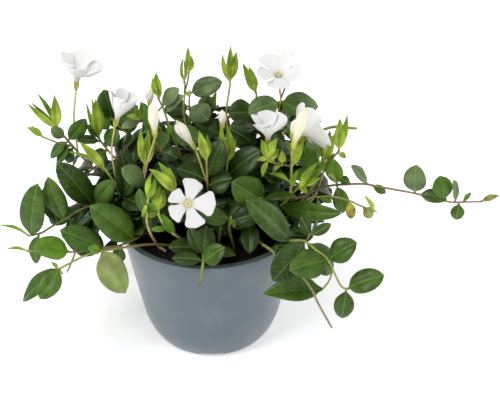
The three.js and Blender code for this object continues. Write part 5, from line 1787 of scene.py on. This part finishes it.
@dataclass
class Foliage:
    """The leaves of one shoot: thin leathery blades with a sunk midrib and a wavy margin."""

    group: str
    blades: list[Blade]
    stems: list[Stem]
    rows: int = 17
    crowded: float = 0.06
    acrosses: Row = (-1, -0.82, -0.52, -0.2, 0, 0.2, 0.52, 0.82, 1)
    middle: float = 0.55
    margin: float = 0.28
    petiole: float = 0.9
    petiole_end: float = 0.02
    joined: float = 0.35
    outline: Outline = Outline(0.07, 0.1, 0.92, 0.58)
    least_half: float = 0.1
    opens: Pair = (0, 0.25)
    closes: Pair = (0.85, 1)
    bulge: float = 0.1
    bulge_power: float = 0.8
    bulge_play: Pair = (0.6, 0.8)
    rolled: float = 0.09
    groove: float = 0.16
    groove_half: float = 0.7
    wave: float = 0.45
    waves: float = 1.3
    wave_lag: float = 1.7
    usual_width: float = 14
    droop: float = 0.035
    least_droop: float = 0.4
    curl: float = 0.2
    young_fold: float = 0.3
    young_narrow: float = 0.14
    old_narrow: float = 0.26
    vein_step: float = 2.6
    veins: float = 8
    vein_rake: float = 0.9
    vein_bend: float = 0.02
    tint_play: Pair = (0.15, 0.7)
    fade_middle: float = 0.6
    # Painted shade: how much darker a fading blade grows towards its edges, across its fold.
    painted_edge_shade: float = 0.35
    stain: str = "#64503c"
    stain_youth: float = 1.3

    def lift(self, blade: Blade, seed: int, share: Array, across: Array, half: Array) -> Array:
        """How far the face stands off the plain blade.

        It is a sine along the margin and a sine across each half, less a bell-shaped groove
        along the midrib, a droop that grows as the cube of the share, and a young leaf's fold.

        Args:
            blade: the blade.
            seed: where its draws start.
            share: shares of the blade beyond its stalk.
            across: shares of the half width.
            half: half the width there.

        Returns:
            The lift at each point of the grid.
        """
        distance = np.abs(across) * half
        opened = ease(*self.opens, share) * (1 - ease(*self.closes, share))
        wave = np.sin(2 * np.pi * (self.waves * share + draw(seed)) + self.wave_lag * np.sign(across))
        lift = self.wave * wave * across**2 * opened * (blade.width / self.usual_width)
        bulge = self.bulge * np.sin(np.pi * np.abs(across) ** self.bulge_power) - self.rolled * across**4
        least, play = self.bulge_play
        lift = lift + bulge * half * opened * (least + play * draw(seed + 8))
        lift = lift - self.groove * np.exp(-((distance / self.groove_half) ** 2)) * opened
        chance = draw(seed + 3)
        curl = self.curl * (chance - 0.5) if blade.young else -self.droop * (self.least_droop + chance)
        lift = lift + curl * blade.length * np.maximum(share, 0) ** 3
        return lift + self.young_fold * blade.young * distance * ease(0, 0.3, share)

    def tint(self, tone: Tone, chance: float, share: Array, across: Array) -> Array:
        """The blade's colours, with its youth as alpha: a draw, a fading to the tip, and painted shade
        towards the edge.

        Args:
            tone: the blade's tone.
            chance: a draw.
            share: shares of the blade beyond its stalk.
            across: shares of the half width.

        Returns:
            The grid of colours. A pale leaf is stained brown at its foot and along its edge.
        """
        dark, light, youth, fade_and_edge_shade = tone.value
        low, play = self.tint_play
        # The fading pales the blade towards its foot, and darkens it towards its edges as painted shade.
        at = low + play * chance + fade_and_edge_shade * (self.fade_middle - share - self.painted_edge_shade * np.abs(across))
        tint = blended(dark, light, at)
        tint[..., 3] = youth
        if tone is Tone.PALE:
            foot = 0.95 * np.exp(-(((share - 0.1) / 0.2) ** 2) - ((across + 0.3) / 0.55) ** 2)
            stain = np.clip(foot + 0.35 * np.abs(across) ** 5 * (1 - share), 0, 1)[..., None]
            tint = tint + stain * (np.array(linear(self.stain, self.stain_youth)) - tint)
        return tint

    def dress(self, shell: Shell, blade: Blade, seed: int) -> None:
        """Adds one blade, a sheet over share by across, whose foot is drawn onto its stem.

        Args:
            shell: the mesh that it joins.
            blade: the blade.
            seed: where its draws start.
        """
        start = -blade.stalk / (blade.length - blade.stalk)
        u = np.linspace(0, 1, self.rows)
        share = (start + (1 - start) * (u + self.crowded * np.sin(2 * np.pi * u)))[:, None]
        share, across = np.broadcast_arrays(share, np.array(self.acrosses))
        tone = tone_of(blade, self.stems)
        shape = YOUNG if blade.young else self.outline
        half = half_width(share, blade.width, shape)
        half = np.maximum(half, np.where(share < 0.5, STALK_HALF, self.least_half))
        along, _, off = blade_face(blade.length, blade.width, shape, share, across)
        slimmer = self.young_narrow * blade.young + self.old_narrow * (tone is Tone.YELLOW)
        narrow = 1 - slimmer * ease(0, 0.2, share)
        lift = self.lift(blade, seed, share, across, half)
        top = blade.laid((along, across * half * narrow, off + lift))
        nearest = [onto(stem.fine, blade.base) - blade.base for stem in self.stems]
        pull = min(nearest, key=np.linalg.norm)
        top = top + (pull * (1 - ease(0, self.joined, share))[..., None])
        thickness = self.margin + (self.middle - self.margin) * (1 - np.abs(across) ** 2)
        thickness = np.where(share < self.petiole_end, self.petiole, thickness)
        distance = np.abs(across) * half
        step = max(self.vein_step, blade.length / self.veins)
        bent = share * blade.length - self.vein_rake * distance + self.vein_bend * distance**2
        above = np.stack([distance, bent / step, 0 * share], axis=-1).reshape(-1, 3)
        tint = self.tint(tone, draw(seed + 5), share, across).reshape(-1, 4)
        shell.add(sheet(top, thickness), np.tile(tint, (2, 1)), np.vstack([above, above + [0, 0, 1]]))

    def build(self) -> Thing:
        """Builds the shoot's leaves as one piece.

        Returns:
            The piece.
        """
        shell = Shell(f"leaves_{self.group}")
        for index, blade in enumerate(self.blades):
            self.dress(shell, blade, 17 * index + len(self.group) * 31)
        return declared(shell.build(LeafCuticle()), f"shoot_{self.group}")


# A stem's colour at its foot and its tip, and the power of its way between them.
STEM_TINTS = {
    "front_node": ("#7f8a3c", "#5a1d15", 14),
    "right_low": ("#9aa838", "#7d786a", 1),
    "right_stem": ("#8a8a3e", "#a5b04a", 1),
    "right_long": ("#b5a46c", "#a9905c", 1),
    "right_fan": ("#8a7a48", "#8f9d40", 0.6),
    "right_fan_side": ("#8a8a45", "#8f9d40", 1),
    "right_trail": ("#6f6a38", "#94745a", 1.4),
    "right_pink": ("#b98f78", "#b5a468", 1),
    "centre_stem": ("#b98f70", "#b3a662", 1),
    "centre_pale": ("#c4a684", "#b0b05c", 1),
    "left_brown": ("#5a4032", "#6d5a3a", 1),
    "left_high": ("#59402f", "#7b6a44", 1),
    "front_left": ("#cda58a", "#bcc562", 1),
    "front_left_arc": ("#c9a07c", "#b0bb55", 1),
    "top_right": ("#b58a4c", "#8fa03c", 1),
    "bloom_top_right": ("#bf9e4e", "#b0b04a", 1),
    "left_middle": ("#5c4334", "#93a046", 2),
    "top_twin": ("#8c6a52", "#a5a85c", 1),
    "top_middle": ("#8c6a52", "#a9a765", 1),
    "bloom_left": ("#bd9c7c", "#b5b84a", 3),
    "bud_left": ("#b08d6c", "#b8ad5c", 2),
    "bloom_left_high": ("#8f9a4a", "#b9bf62", 1),
}


@dataclass
class Stems:
    """The wiry stems and flower stalks of one shoot, with the calyx under each flower."""

    group: str
    stems: list[Stem]
    blades: list[Blade]
    flowers: list[Flower]
    sides: int = 9
    round: float = 1.12
    swelling: float = 0.35
    swelling_half: float = 1.8
    at_leaf: float = 1.5
    end: float = 0.7
    sunk: float = 5
    usual: tuple = ("#65503c", "#8b8f45", 1)
    stalk: tuple = ("#a39a55", "#bcbf66", 1)
    cup: tuple = ((0.45, -1.4), (0.9, -0.4), (1.45, 0.8), (1.55, 2.2))
    tooth_half: float = 0.55
    calyx_tints: tuple[str, str] = ("#9fa83e", "#b6ba52")

    def route_tube(self, route: Array, radius: Array) -> Skin:
        """A round tube along a route: rings square to it, carried along without twisting.

        Args:
            route: the points of its axis.
            radius: the radius at each.

        Returns:
            Its skin.
        """
        along = unit(np.gradient(route, axis=0))
        up = unit(np.cross(along[0], [0.3, 0.9, 0.1]))
        angle = around(self.sides)[:, None]
        rings = []
        for point, way, r in zip(route, along, radius):
            up = unit(up - way * (up @ way))
            rings.append(point + r * (np.cos(angle) * up + np.sin(angle) * np.cross(way, up)))
        return tube(np.stack(rings))

    def dress(self, shell: Shell, stem: Stem) -> None:
        """Adds one stem: its radius tapers in a line and swells in a bell at each leaf.

        Args:
            shell: the mesh that it joins.
            stem: the stem.
        """
        route = stem.fine
        if stem.start is not None:
            route = np.vstack([[*stem.start[:2], SOIL.level - self.sunk], route])
        way = travelled(route)
        radius = self.round * np.interp(way, [0, way[-1]], np.array(stem.girth) / 2)
        for blade in self.blades:
            gap = np.linalg.norm(route - blade.base, axis=1)
            if gap.min() < self.at_leaf:
                bell = 1 + self.swelling * np.exp(-((gap / self.swelling_half) ** 2))
                radius = np.maximum(radius, bell * stem.girth[1] / 2)
        radius[-1] *= self.end
        stalk = any(flower.name == stem.name for flower in self.flowers)
        foot, tip, power = STEM_TINTS.get(stem.name, self.stalk if stalk else self.usual)
        share = np.append(np.repeat(way / way[-1], self.sides), [0, 1]) ** power
        shell.add(self.route_tube(route, radius), blended(foot, tip, share))

    def calyx(self, shell: Shell, flower: Flower, seat: Array) -> None:
        """Adds a calyx: a small cup with five narrow teeth that stand out from the tube.

        Args:
            shell: the mesh that it joins.
            flower: the flower above it.
            seat: where it stands.
        """
        rings = np.stack([round_axis(seat, flower.aim, around(12), r, h) for r, h in self.cup])
        green = blended(*self.calyx_tints, np.array(draw(len(flower.name))))
        shell.add(tube(rings), green)
        share = np.linspace(0, 1, 5)
        for i in range(PARTS.lobes):
            turned = 2 * np.pi * i / PARTS.lobes + 0.4
            tooth = round_axis(seat, flower.aim, turned, 1.3 + 0.6 * share**1.5, 1.6 + 4.8 * share)
            shell.add(self.route_tube(tooth, self.tooth_half * (1.05 - share**1.5)), green)

    def build(self) -> Thing:
        """Builds the shoot's stems as one piece.

        Returns:
            The piece.
        """
        shell = Shell(f"stems_{self.group}")
        for stem in self.stems:
            self.dress(shell, stem)
        for flower in self.flowers:
            seat = next(stem.fine[-1] for stem in self.stems if stem.name == flower.name)
            self.calyx(shell, flower, seat)
        return declared(shell.build(StemSkin()), f"shoot_{self.group}")


# How far each lobe of a bloom reaches against the even length.
REACHES = {
    "bloom_centre": (1.12, 0.95, 0.74, 0.8, 0.95),
    "bloom_top_right": (0.88, 0.92, 0.92, 0.88, 0.9),
}

# How many degrees further each lobe of a bloom leans out.
LEANS = {
    "bloom_left_high": (15, -2, -10, -8, 4),
    "bloom_left": (2, -4, 2, -6, 4),
    "bloom_right_middle": (-2, -8, -14, -10, 0),
    "bloom_right": (4, -8, 4, 4, -4),
    "bloom_top_right": (2, -6, -6, 2, 20),
}

# How far round a bloom's finer lobes stand from the solid's, in degrees.
ROUND = {"bloom_right": -26, "bloom_top_right": -20, "bloom_centre": 5}


@dataclass
class OpenBloom:
    """An open flower: a funnel tube and five lobes cut off aslant, set like a pinwheel.

    A row of three holds its values for a cupped, a half spread and a flat bloom.
    """

    flower: Flower
    seat: Array
    rows: int = 26
    columns: int = 13
    thick: float = 0.25
    funnel: float = 7.6
    neck: float = 0.95
    notch_half: float = 36
    spreads: Row = (48, 66, 84)
    end_halves: Row = (45, 37, 28.5)
    flares: tuple[Row, ...] = ((-7, -5.5, -2.5), (1.5, 1.5, 2.5))
    sizes: Row = (0.92, 0.93, 0.96)
    closer: Row = (7, 4, 0)
    bows: Row = (13, 9, 0)
    rounds: Row = (0.13, 0.1, 0.03)
    lit: Row = (0.9, 0.9, 0.82)
    glows: tuple[Row, ...] = ((-3, -2.6, -1), (0, 0.6, 2.6))
    plugs: Row = (0.5, 0.55, 1)
    sunk: Row = (2.6, 1.9, 0)
    leans: Row = (7, 10, 14)
    size_play: float = 0.09
    end_play: float = 5
    turn_play: float = 32
    curl_play: float = 2
    aslant: float = 0.06
    corner: float = 0.12
    frill: float = 0.015
    tilt: float = 0.7
    cup: float = 0.5
    ripple: float = 0.3
    white: str = "#efefee"
    throat: str = "#d9d3b0"
    foot: str = "#cdb29c"
    eye: str = "#b3a878"
    outside: tuple = ((0.8, PARTS.seat), (0.85, 3.0), (0.92, 5.0))
    style: tuple = ((0.9, -3.2), (2.7, -1.0), (2.0, -0.45), (1.0, -0.3), (0.45, -0.5))
    style_tint: tuple = (0, 0, 0.2, 0.6, 1)

    def told(self, values: Row) -> float:
        """The value for the flower's spread, between those of a cupped and a flat one."""
        return float(np.interp(self.flower.spread, self.spreads, values))

    def path(self, length: float, lean: float) -> Ways:
        """A line from the tube out over the middle of a lobe.

        Its slope from the axis eases from the tube's to the flower's spread and a bow more,
        loses twice the bow on its way, so that it is hollow, and recurves at its end. Radius
        and height are the sums of the slope's sine and cosine.

        Args:
            length: how far it runs past the mouth.
            lean: the lobe's own share of slope, in degrees.

        Returns:
            The way, the radius and the height of its points.
        """
        way = np.linspace(0, self.funnel + length, 200)
        steep = math.degrees(math.atan((PARTS.mouth - self.neck) / self.funnel))
        spread = self.flower.spread + lean - self.told(self.closer)
        widest = min(spread + PARTS.recurve, PARTS.widest)
        first, last = (self.funnel + self.told(row) for row in self.flares)
        hollow = spread + self.told(self.bows) * (1 - 2 * np.clip((way - self.funnel) / length, 0, 1))
        slope = steep + (hollow - steep) * ease(first, last, way)
        slope = slope + (widest - spread) * ease(self.funnel + 0.3 * length, way[-1], way)
        slope = np.radians(slope)
        step = np.diff(way, prepend=0)
        height = PARTS.seat + PARTS.tube - self.funnel + np.cumsum(np.cos(slope) * step)
        return way, self.neck + np.cumsum(np.sin(slope) * step), height

    def lobe(self, shell: Shell, index: int) -> None:
        """Adds one lobe as a sheet over way by turn, its end a rounded slanting edge.

        Its length falls off as t^2 and t^8 towards its sides, and it narrows past the notch.

        Args:
            shell: the mesh that it joins.
            index: which lobe it is.
        """
        name = self.flower.name
        chance = [draw(index * 7 + k * 3 + len(name)) - 0.5 for k in range(6)]
        reach = REACHES.get(name, (1,) * PARTS.lobes)[index]
        size = self.flower.size * (self.told(self.sizes) + self.size_play * chance[0]) * reach
        t = np.linspace(1, -1, self.columns)[None, :]
        s = np.linspace(0, 1, self.rows)[:, None] ** 0.9
        slant = self.aslant * (1 + chance[1])
        edge = 1 - self.told(self.rounds) * t**2 - self.corner * np.abs(t) ** 8
        reach = size * (edge + slant * t + self.frill * np.cos(7 * t))
        s, reach, t = np.broadcast_arrays(s, reach, t)
        along = s * (self.funnel + reach)
        lean = self.told(self.leans) * chance[2] + LEANS.get(name, (0,) * PARTS.lobes)[index]
        way, radius, height = self.path(size * 1.15, lean)
        out, limb = (ease(self.funnel, self.funnel + part * size, along) for part in (0.5, 0.6))
        end = self.told(self.end_halves) + self.end_play * chance[3]
        half = self.notch_half + (end - self.notch_half) * out
        round_by = ROUND.get(name, 0) + self.turn_play * chance[4] * chance[1]
        middle = 360 / PARTS.lobes * index + self.flower.turn + round_by
        rise = self.tilt * t + self.cup * t**2
        rise = rise + self.ripple * np.sin(2.2 * np.pi * s + 6 * chance[4] + 2 * t) * np.abs(t)
        rise = rise - self.curl_play * chance[5] * ease(0.8, 1, s) * t
        high = np.interp(along, way, height) + limb * rise
        wide = np.interp(along, way, radius)
        grid = round_axis(self.seat, self.flower.aim, np.radians(middle + t * half), wide, high)
        glow = (self.funnel + self.told(row) for row in self.glows)
        inner = blended(self.throat, self.white, ease(*glow, along))
        outer = blended(self.foot, self.white, ease(0, self.funnel + 1, along))
        tints = np.stack([inner, outer]).reshape(-1, 4)
        tints[:, :3] *= self.told(self.lit)
        rib = np.stack([along, t * 4, 0 * t], axis=-1).reshape(-1, 3)
        shell.add(sheet(grid, np.full(s.shape, self.thick)), tints, np.tile(rib, (2, 1)))

    def turned(self, angle: Array, rows: Sequence) -> Skin:
        """A turned skin on the flower's axis over rows of radius and height."""
        return tube(np.stack([round_axis(self.seat, self.flower.aim, angle, r, h) for r, h in rows]))

    def tube_skin(self, shell: Shell) -> None:
        """Adds the tube's foot, which the lobes grow out of, and the head of the style.

        Args:
            shell: the mesh that they join.
        """
        shell.add(self.turned(around(24), self.outside), linear(self.foot))
        mouth = PARTS.seat + PARTS.tube
        head = self.style * np.array([self.told(self.plugs), 1]) + [0, mouth - self.told(self.sunk)]
        share = np.append(np.repeat(self.style_tint, 12), [0, 1])
        shell.add(self.turned(around(24)[::2], head), blended(self.throat, self.eye, share))

    def build(self) -> Thing:
        """Builds the flower as one piece.

        Returns:
            The piece.
        """
        shell = Shell(f"petals_{self.flower.name}")
        for index in range(PARTS.lobes):
            self.lobe(shell, index)
        self.tube_skin(shell)
        return declared(shell.build(PetalSkin()), self.flower.name)


@dataclass
class Bud:
    """A bud: a spindle of furled lobes with twisted seams, or five loose ones as it opens."""

    flower: Flower
    seat: Array
    rows: int = 22
    sides: int = 40
    least: float = 0.12
    seam: float = 0.08
    wound: float = 2.2
    sheet: float = 0.3
    least_sheet: float = 0.3
    narrowed: float = 0.2
    tipped: float = 0.35
    core: tuple = (0.74, 0.74, 0.74 * 0.92, 0.74 * 0.75, 0.74 * 0.55)
    white: str = "#e9e3d3"
    late_white: str = "#e8e4cc"
    foot: str = "#c3c56c"
    small_foot: str = "#b79c84"

    def profile(self, share: Array, rows: tuple) -> Array:
        """The radius at a share of the bud's length, smoothed through the profile's rows."""
        curve = smooth(np.array(rows, float), 8)
        return np.interp(share, curve[:, 0], np.maximum(curve[:, 1], 0)) * self.flower.size

    def tint(self, share: Array) -> Array:
        """From greenish at the foot to white.

        Args:
            share: shares of the bud's length.

        Returns:
            The colours, greenish at the foot.
        """
        white = self.late_white if self.flower.late else self.white
        foot = self.small_foot if self.flower.name == "bud_small" else self.foot
        return blended(foot, white, ease(0.0, 0.45, share))

    def spindle(self, shell: Shell, rows: tuple, end: float) -> None:
        """Adds a twisted spindle: its radius dips along five seams that wind with the share.

        Args:
            shell: the mesh that it joins.
            rows: its profile, as shares and radii.
            end: the share where it ends.
        """
        share = np.linspace(0, end, self.rows)[:, None]
        angle = around(self.sides)[None, :]
        seam = np.abs(np.sin(2.5 * (angle - self.wound * PARTS.twist * share)))
        radius = np.maximum(self.profile(share, rows), self.least)
        radius = radius * (1 - self.seam + 1.4 * self.seam * seam)
        rings = round_axis(self.seat, self.flower.aim, angle, radius, bud_height(self.flower, share))
        shell.add(tube(rings), self.tint(np.append(np.repeat(share[:, 0], self.sides), [0, 1])))

    def furled(self, shell: Shell, index: int) -> None:
        """Adds one loose lobe: a sheet round the axis whose one side lies over the next lobe.

        Args:
            shell: the mesh that it joins.
            index: which lobe it is.
        """
        t = np.linspace(1, -1, 11)[None, :]
        share = np.linspace(0.12, 1, self.rows)[:, None]
        share, t = np.broadcast_arrays(share * (1 - 0.13 * t**2 - 0.1 * draw(index * 3)), t)
        angle = np.radians(72 * index + 55 * t) + PARTS.twist * share
        closed = 1 - self.narrowed - self.tipped * ease(0.7, 1, share)
        radius = self.profile(share, PARTS.half_open[:-1]) * (0.93 + 0.13 * t) * closed
        radius, height = np.maximum(radius, self.least_sheet), bud_height(self.flower, share)
        grid = round_axis(self.seat, self.flower.aim, angle, radius, height)
        tint = np.tile(self.tint(share).reshape(-1, 4), (2, 1))
        shell.add(sheet(grid[:, ::-1], np.full(share.shape, self.sheet)), tint)

    def build(self) -> Thing:
        """Builds the bud as one piece.

        Returns:
            The piece.
        """
        shell = Shell(f"petals_{self.flower.name}")
        if self.flower.stage is Stage.CLOSED:
            self.spindle(shell, PARTS.closed, 1)
        else:
            rows = [(s, k * r) for k, (s, r) in zip(self.core, PARTS.half_open)]
            self.spindle(shell, tuple(rows), 0.9)
            for index in range(PARTS.lobes):
                self.furled(shell, index)
        node = "" if self.flower.late else self.flower.name
        return declared(shell.build(PetalSkin()), node)


@dataclass
class NurseryPot:
    """The nursery pot: a thin tapered cup with a rounded lip and four drain channels below."""

    sides: int = 144
    corner: float = 0.45
    channels: int = 4
    channel_width: float = 15
    channel_inner: float = 19
    channel_heights: Pair = (-2, 2.4)
    hole: float = 3.6
    hole_at: float = 29
    hole_heights: Pair = (-3, 12)
    sharp: float = math.radians(35)

    def heel(self, inset: float, steps: int) -> Array:
        """The heel's quadratic curve from the foot to the wall.

        Args:
            inset: how far it is moved in.
            steps: how many points it has.

        Returns:
            The radius and height of each.
        """
        pull = POT.heel_height * POT.heel_pull
        knots = np.array([(POT.foot, 0), (float(POT.wall_at(pull)), pull), (POT.heel, POT.heel_height)])
        t = np.linspace(0, 1, steps)[:, None]
        curve = (1 - t) ** 2 * knots[0] + 2 * t * (1 - t) * knots[1] + t**2 * knots[2]
        return curve - [inset, 0]

    def profile(self) -> Array:
        """Radius and height up the outside, over the lip and down the inside.

        Returns:
            The points of the profile.
        """
        c, top = self.corner, POT.height
        lip = POT.top - POT.lip_width
        foot = top - POT.lip_depth
        below = foot - (float(POT.wall_at(foot)) - POT.wall - lip)
        inner = self.heel(POT.wall, 12)
        inner = inner[inner[:, 1] > POT.floor + 1][::-1]
        return np.vstack([
            [(0, 0), (POT.foot * 0.5, 0)],
            self.heel(0, 14),
            [(float(POT.wall_at(z)), z) for z in np.linspace(POT.heel_height, top - c, 14)[1:]],
            [(POT.top - 0.3 * c, top - 0.3 * c), (POT.top - c, top), (lip + c, top)],
            [(lip, top - c), (lip, foot + 0.3), (lip + 0.3, foot)],
            [(float(POT.wall_at(below)) - POT.wall, below)],
            inner,
            [(POT.foot - POT.wall, POT.floor), (POT.foot * 0.5, POT.floor), (0, POT.floor)],
        ])

    def cutters(self) -> list[Thing]:
        """The boxes and cylinders of the drain channels and holes.

        Returns:
            The cutters, as objects.
        """
        made = []
        middle, half = (self.channel_inner + POT.top) / 2, (POT.top - self.channel_inner) / 2
        corners = [(1, 1), (-1, 1), (-1, -1), (1, -1)]
        for i in range(self.channels):
            angle = 2 * np.pi * i / self.channels - np.pi / 2
            way = np.array([np.cos(angle), np.sin(angle), 0])
            side = np.array([-way[1], way[0], 0]) * self.channel_width / 2
            flat = np.array([way * (middle + half * a) + side * b for a, b in corners])
            drilled = way * self.hole_at + circle(24, self.hole)
            cuts = (("channel", flat, self.channel_heights), ("hole", drilled, self.hole_heights))
            for name, ring, heights in cuts:
                cutter = Shell(f"{name}_cutter_{i}")
                cutter.add(tube(np.stack([ring + [0, 0, z] for z in heights])))
                made.append(cutter.build(MouldedPot()))
        return made

    def build(self) -> Thing:
        """Builds the pot and cuts its drains.

        Returns:
            The piece.
        """
        profile = self.profile()
        rings = np.stack([circle(self.sides, r, z) for r, z in profile[1:-1]])
        shell = Shell("nursery_pot")
        shell.add(tube(rings, tuple(np.array([0, 0, z]) for z in profile[[0, -1], 1])))
        piece = shell.build(MouldedPot())
        cutters = self.cutters()
        for cutter in cutters:
            cut = piece.modifiers.new(cutter.name, "BOOLEAN")
            cut.object = cutter
            cut.operation = "DIFFERENCE"
        bpy.context.view_layer.update()
        carved = bpy.data.meshes.new_from_object(piece.evaluated_get(bpy.context.evaluated_depsgraph_get()))
        piece.modifiers.clear()
        piece.data = carved
        for cutter in cutters:
            bpy.data.objects.remove(cutter)
        carved.set_sharp_from_angle(angle=self.sharp)
        return declared(piece, "pot")


@dataclass
class PottingSoil:
    """The potting soil: a crowned, crumbly top inside the pot with loose crumbs and bark."""

    rings: int = 34
    sides: int = 120
    crumbs: int = 260
    crumb_sides: int = 6
    crumb_leans: Row = (-0.8, 0, 0.8)
    spread: float = 54
    lump: float = 0.55
    shoulder: float = 0.93

    def height(self, radius: Array, angle: Array, edge: float) -> Array:
        """The soil's level, a crown towards the middle, and three waves that cross each other.

        Args:
            radius: the distances from the middle.
            angle: the angles round it.
            edge: the radius where the soil ends.

        Returns:
            The heights.
        """
        x, y = radius * np.cos(angle), radius * np.sin(angle)
        waves = np.sin(0.31 * x + 1.3) * np.sin(0.27 * y) + 0.6 * np.sin(0.7 * x + 0.5 * y)
        waves = waves + 0.5 * np.sin(1.3 * x - 0.9 * y + 2)
        level = SOIL.level + SOIL.crown * (1 - radius / edge) + SOIL.rough * waves
        return level - SOIL.edge * ease(edge * self.shoulder, edge, radius)

    def crumb(self, shell: Shell, k: int, edge: float) -> None:
        """Adds one crumb: a ball of a few rings, squashed and knobbly by draws.

        Args:
            shell: the mesh that it joins.
            k: its number.
            edge: the radius where the soil ends.
        """
        radius, angle = self.spread * math.sqrt(draw(k)), 2 * np.pi * draw(k * 7 + 2)
        size = 0.6 + 1.3 * draw(k * 3 + 1) ** 2
        rings = []
        for i, lean in enumerate(self.crumb_leans):
            r = size * math.cos(lean) * (0.8 + 0.4 * draw(k + i))
            knobs = 0.75 + 0.5 * np.array([draw(k * 5 + i * 11 + j) for j in range(self.crumb_sides)])
            ring = circle(self.crumb_sides, r) * knobs[:, None]
            rings.append(ring + [0, 0, size * self.lump * math.sin(lean)])
        top = float(self.height(np.array(radius), np.array(angle), edge))
        place = [radius * math.cos(angle), radius * math.sin(angle), top + 0.2 * size]
        shell.add(tube(np.array(rings) + place))

    def build(self) -> Thing:
        """Builds the soil with its crumbs.

        Returns:
            The piece.
        """
        inset = POT.wall + SOIL.gap
        shoulder = SOIL.level - SOIL.edge
        edge = float(POT.wall_at(shoulder)) - inset
        heel = NurseryPot().heel(inset, 10)
        side = [(POT.foot - inset, POT.floor + SOIL.gap), *heel[heel[:, 1] > POT.floor + 1], (edge, shoulder)]
        rows = [circle(self.sides, r, z) for r, z in side]
        for r in edge * np.linspace(0.995, 0.02, self.rings):
            height = self.height(np.full(self.sides, r), around(self.sides), edge)
            rows.append(circle(self.sides, r, height))
        shell = Shell("potting_soil_fill")
        shell.add(tube(np.stack(rows)))
        for k in range(1, self.crumbs + 1):
            self.crumb(shell, k, edge)
        return declared(shell.build(PottingMix()), "soil")


@dataclass
class Studio:
    """White paper and soft lights: a large key high on the left, a fill on the right."""

    floor: float = 4.0
    below: float = -0.0002
    world: float = 0.62
    target: tuple[float, float, float] = (0, 0, 0.08)
    lights: tuple = (
        ("key", (-0.8, -0.7, 1.3), 0.8, 14.0),
        ("fill", (1.1, -0.6, 0.7), 0.9, 2.0),
        ("rim", (1.2, 0.35, 0.45), 0.8, 5.0),
    )

    def build(self) -> None:
        """Lays the paper and hangs the lights."""
        corners = [(-1, -1), (1, -1), (1, 1), (-1, 1)]
        mesh = bpy.data.meshes.new("paper")
        rows = [(self.floor * x, self.floor * y, self.below) for x, y in corners]
        mesh.from_pydata(rows, [], [(0, 1, 2, 3)])
        mesh.materials.append(StudioPaper().material())
        paper = bpy.data.objects.new("paper", mesh)
        bpy.context.scene.collection.objects.link(paper)
        world = bpy.data.worlds.new("studio")
        world.use_nodes = True
        sky = {"Color": (1, 1, 1, 1), "Strength": self.world}
        feed(world.node_tree, world.node_tree.nodes["Background"], sky)
        bpy.context.scene.world = world
        for name, place, size, power in self.lights:
            lamp = bpy.data.lights.new(name, "AREA")
            lamp.size = size
            lamp.energy = power
            back = unit(np.array(place) - self.target)
            side = unit(np.cross([0, 0, 1], back))
            placed(name, lamp, (side, np.cross(back, side), back), place)


def report(piece: Thing) -> None:
    """Logs a piece's name and its number of faces."""
    log.info("%s: %d faces", piece.name, len(piece.data.polygons))


def main() -> None:
    """Builds the camera, the studio and each piece in order."""
    logging.basicConfig(level=logging.INFO, format="%(message)s")
    bpy.context.scene.view_settings.view_transform = "Standard"
    view = View()
    view.build()
    Studio().build()
    growth = Growth(view, Filling())
    growth.grow()
    growth.thicken()
    log.info("%d blades", len(growth.blades))
    report(NurseryPot().build())
    report(PottingSoil().build())
    all_stems = list(growth.stems.values())
    all_flowers = (*FLOWERS, LATE_BUD)
    for group in dict.fromkeys(stem.group for stem in all_stems):
        stems = [stem for stem in all_stems if stem.group == group]
        blades = [blade for blade in growth.blades if blade.group == group]
        flowers = [flower for flower in all_flowers if growth.stems[flower.name].group == group]
        report(Stems(group, stems, blades, flowers).build())
        if blades:
            report(Foliage(group, blades, stems).build())
    for flower in all_flowers:
        maker = OpenBloom if flower.stage is Stage.OPEN else Bud
        report(maker(flower, growth.stems[flower.name].fine[-1]).build())
    bpy.context.view_layer.update()


if __name__ == "__main__":
    main()
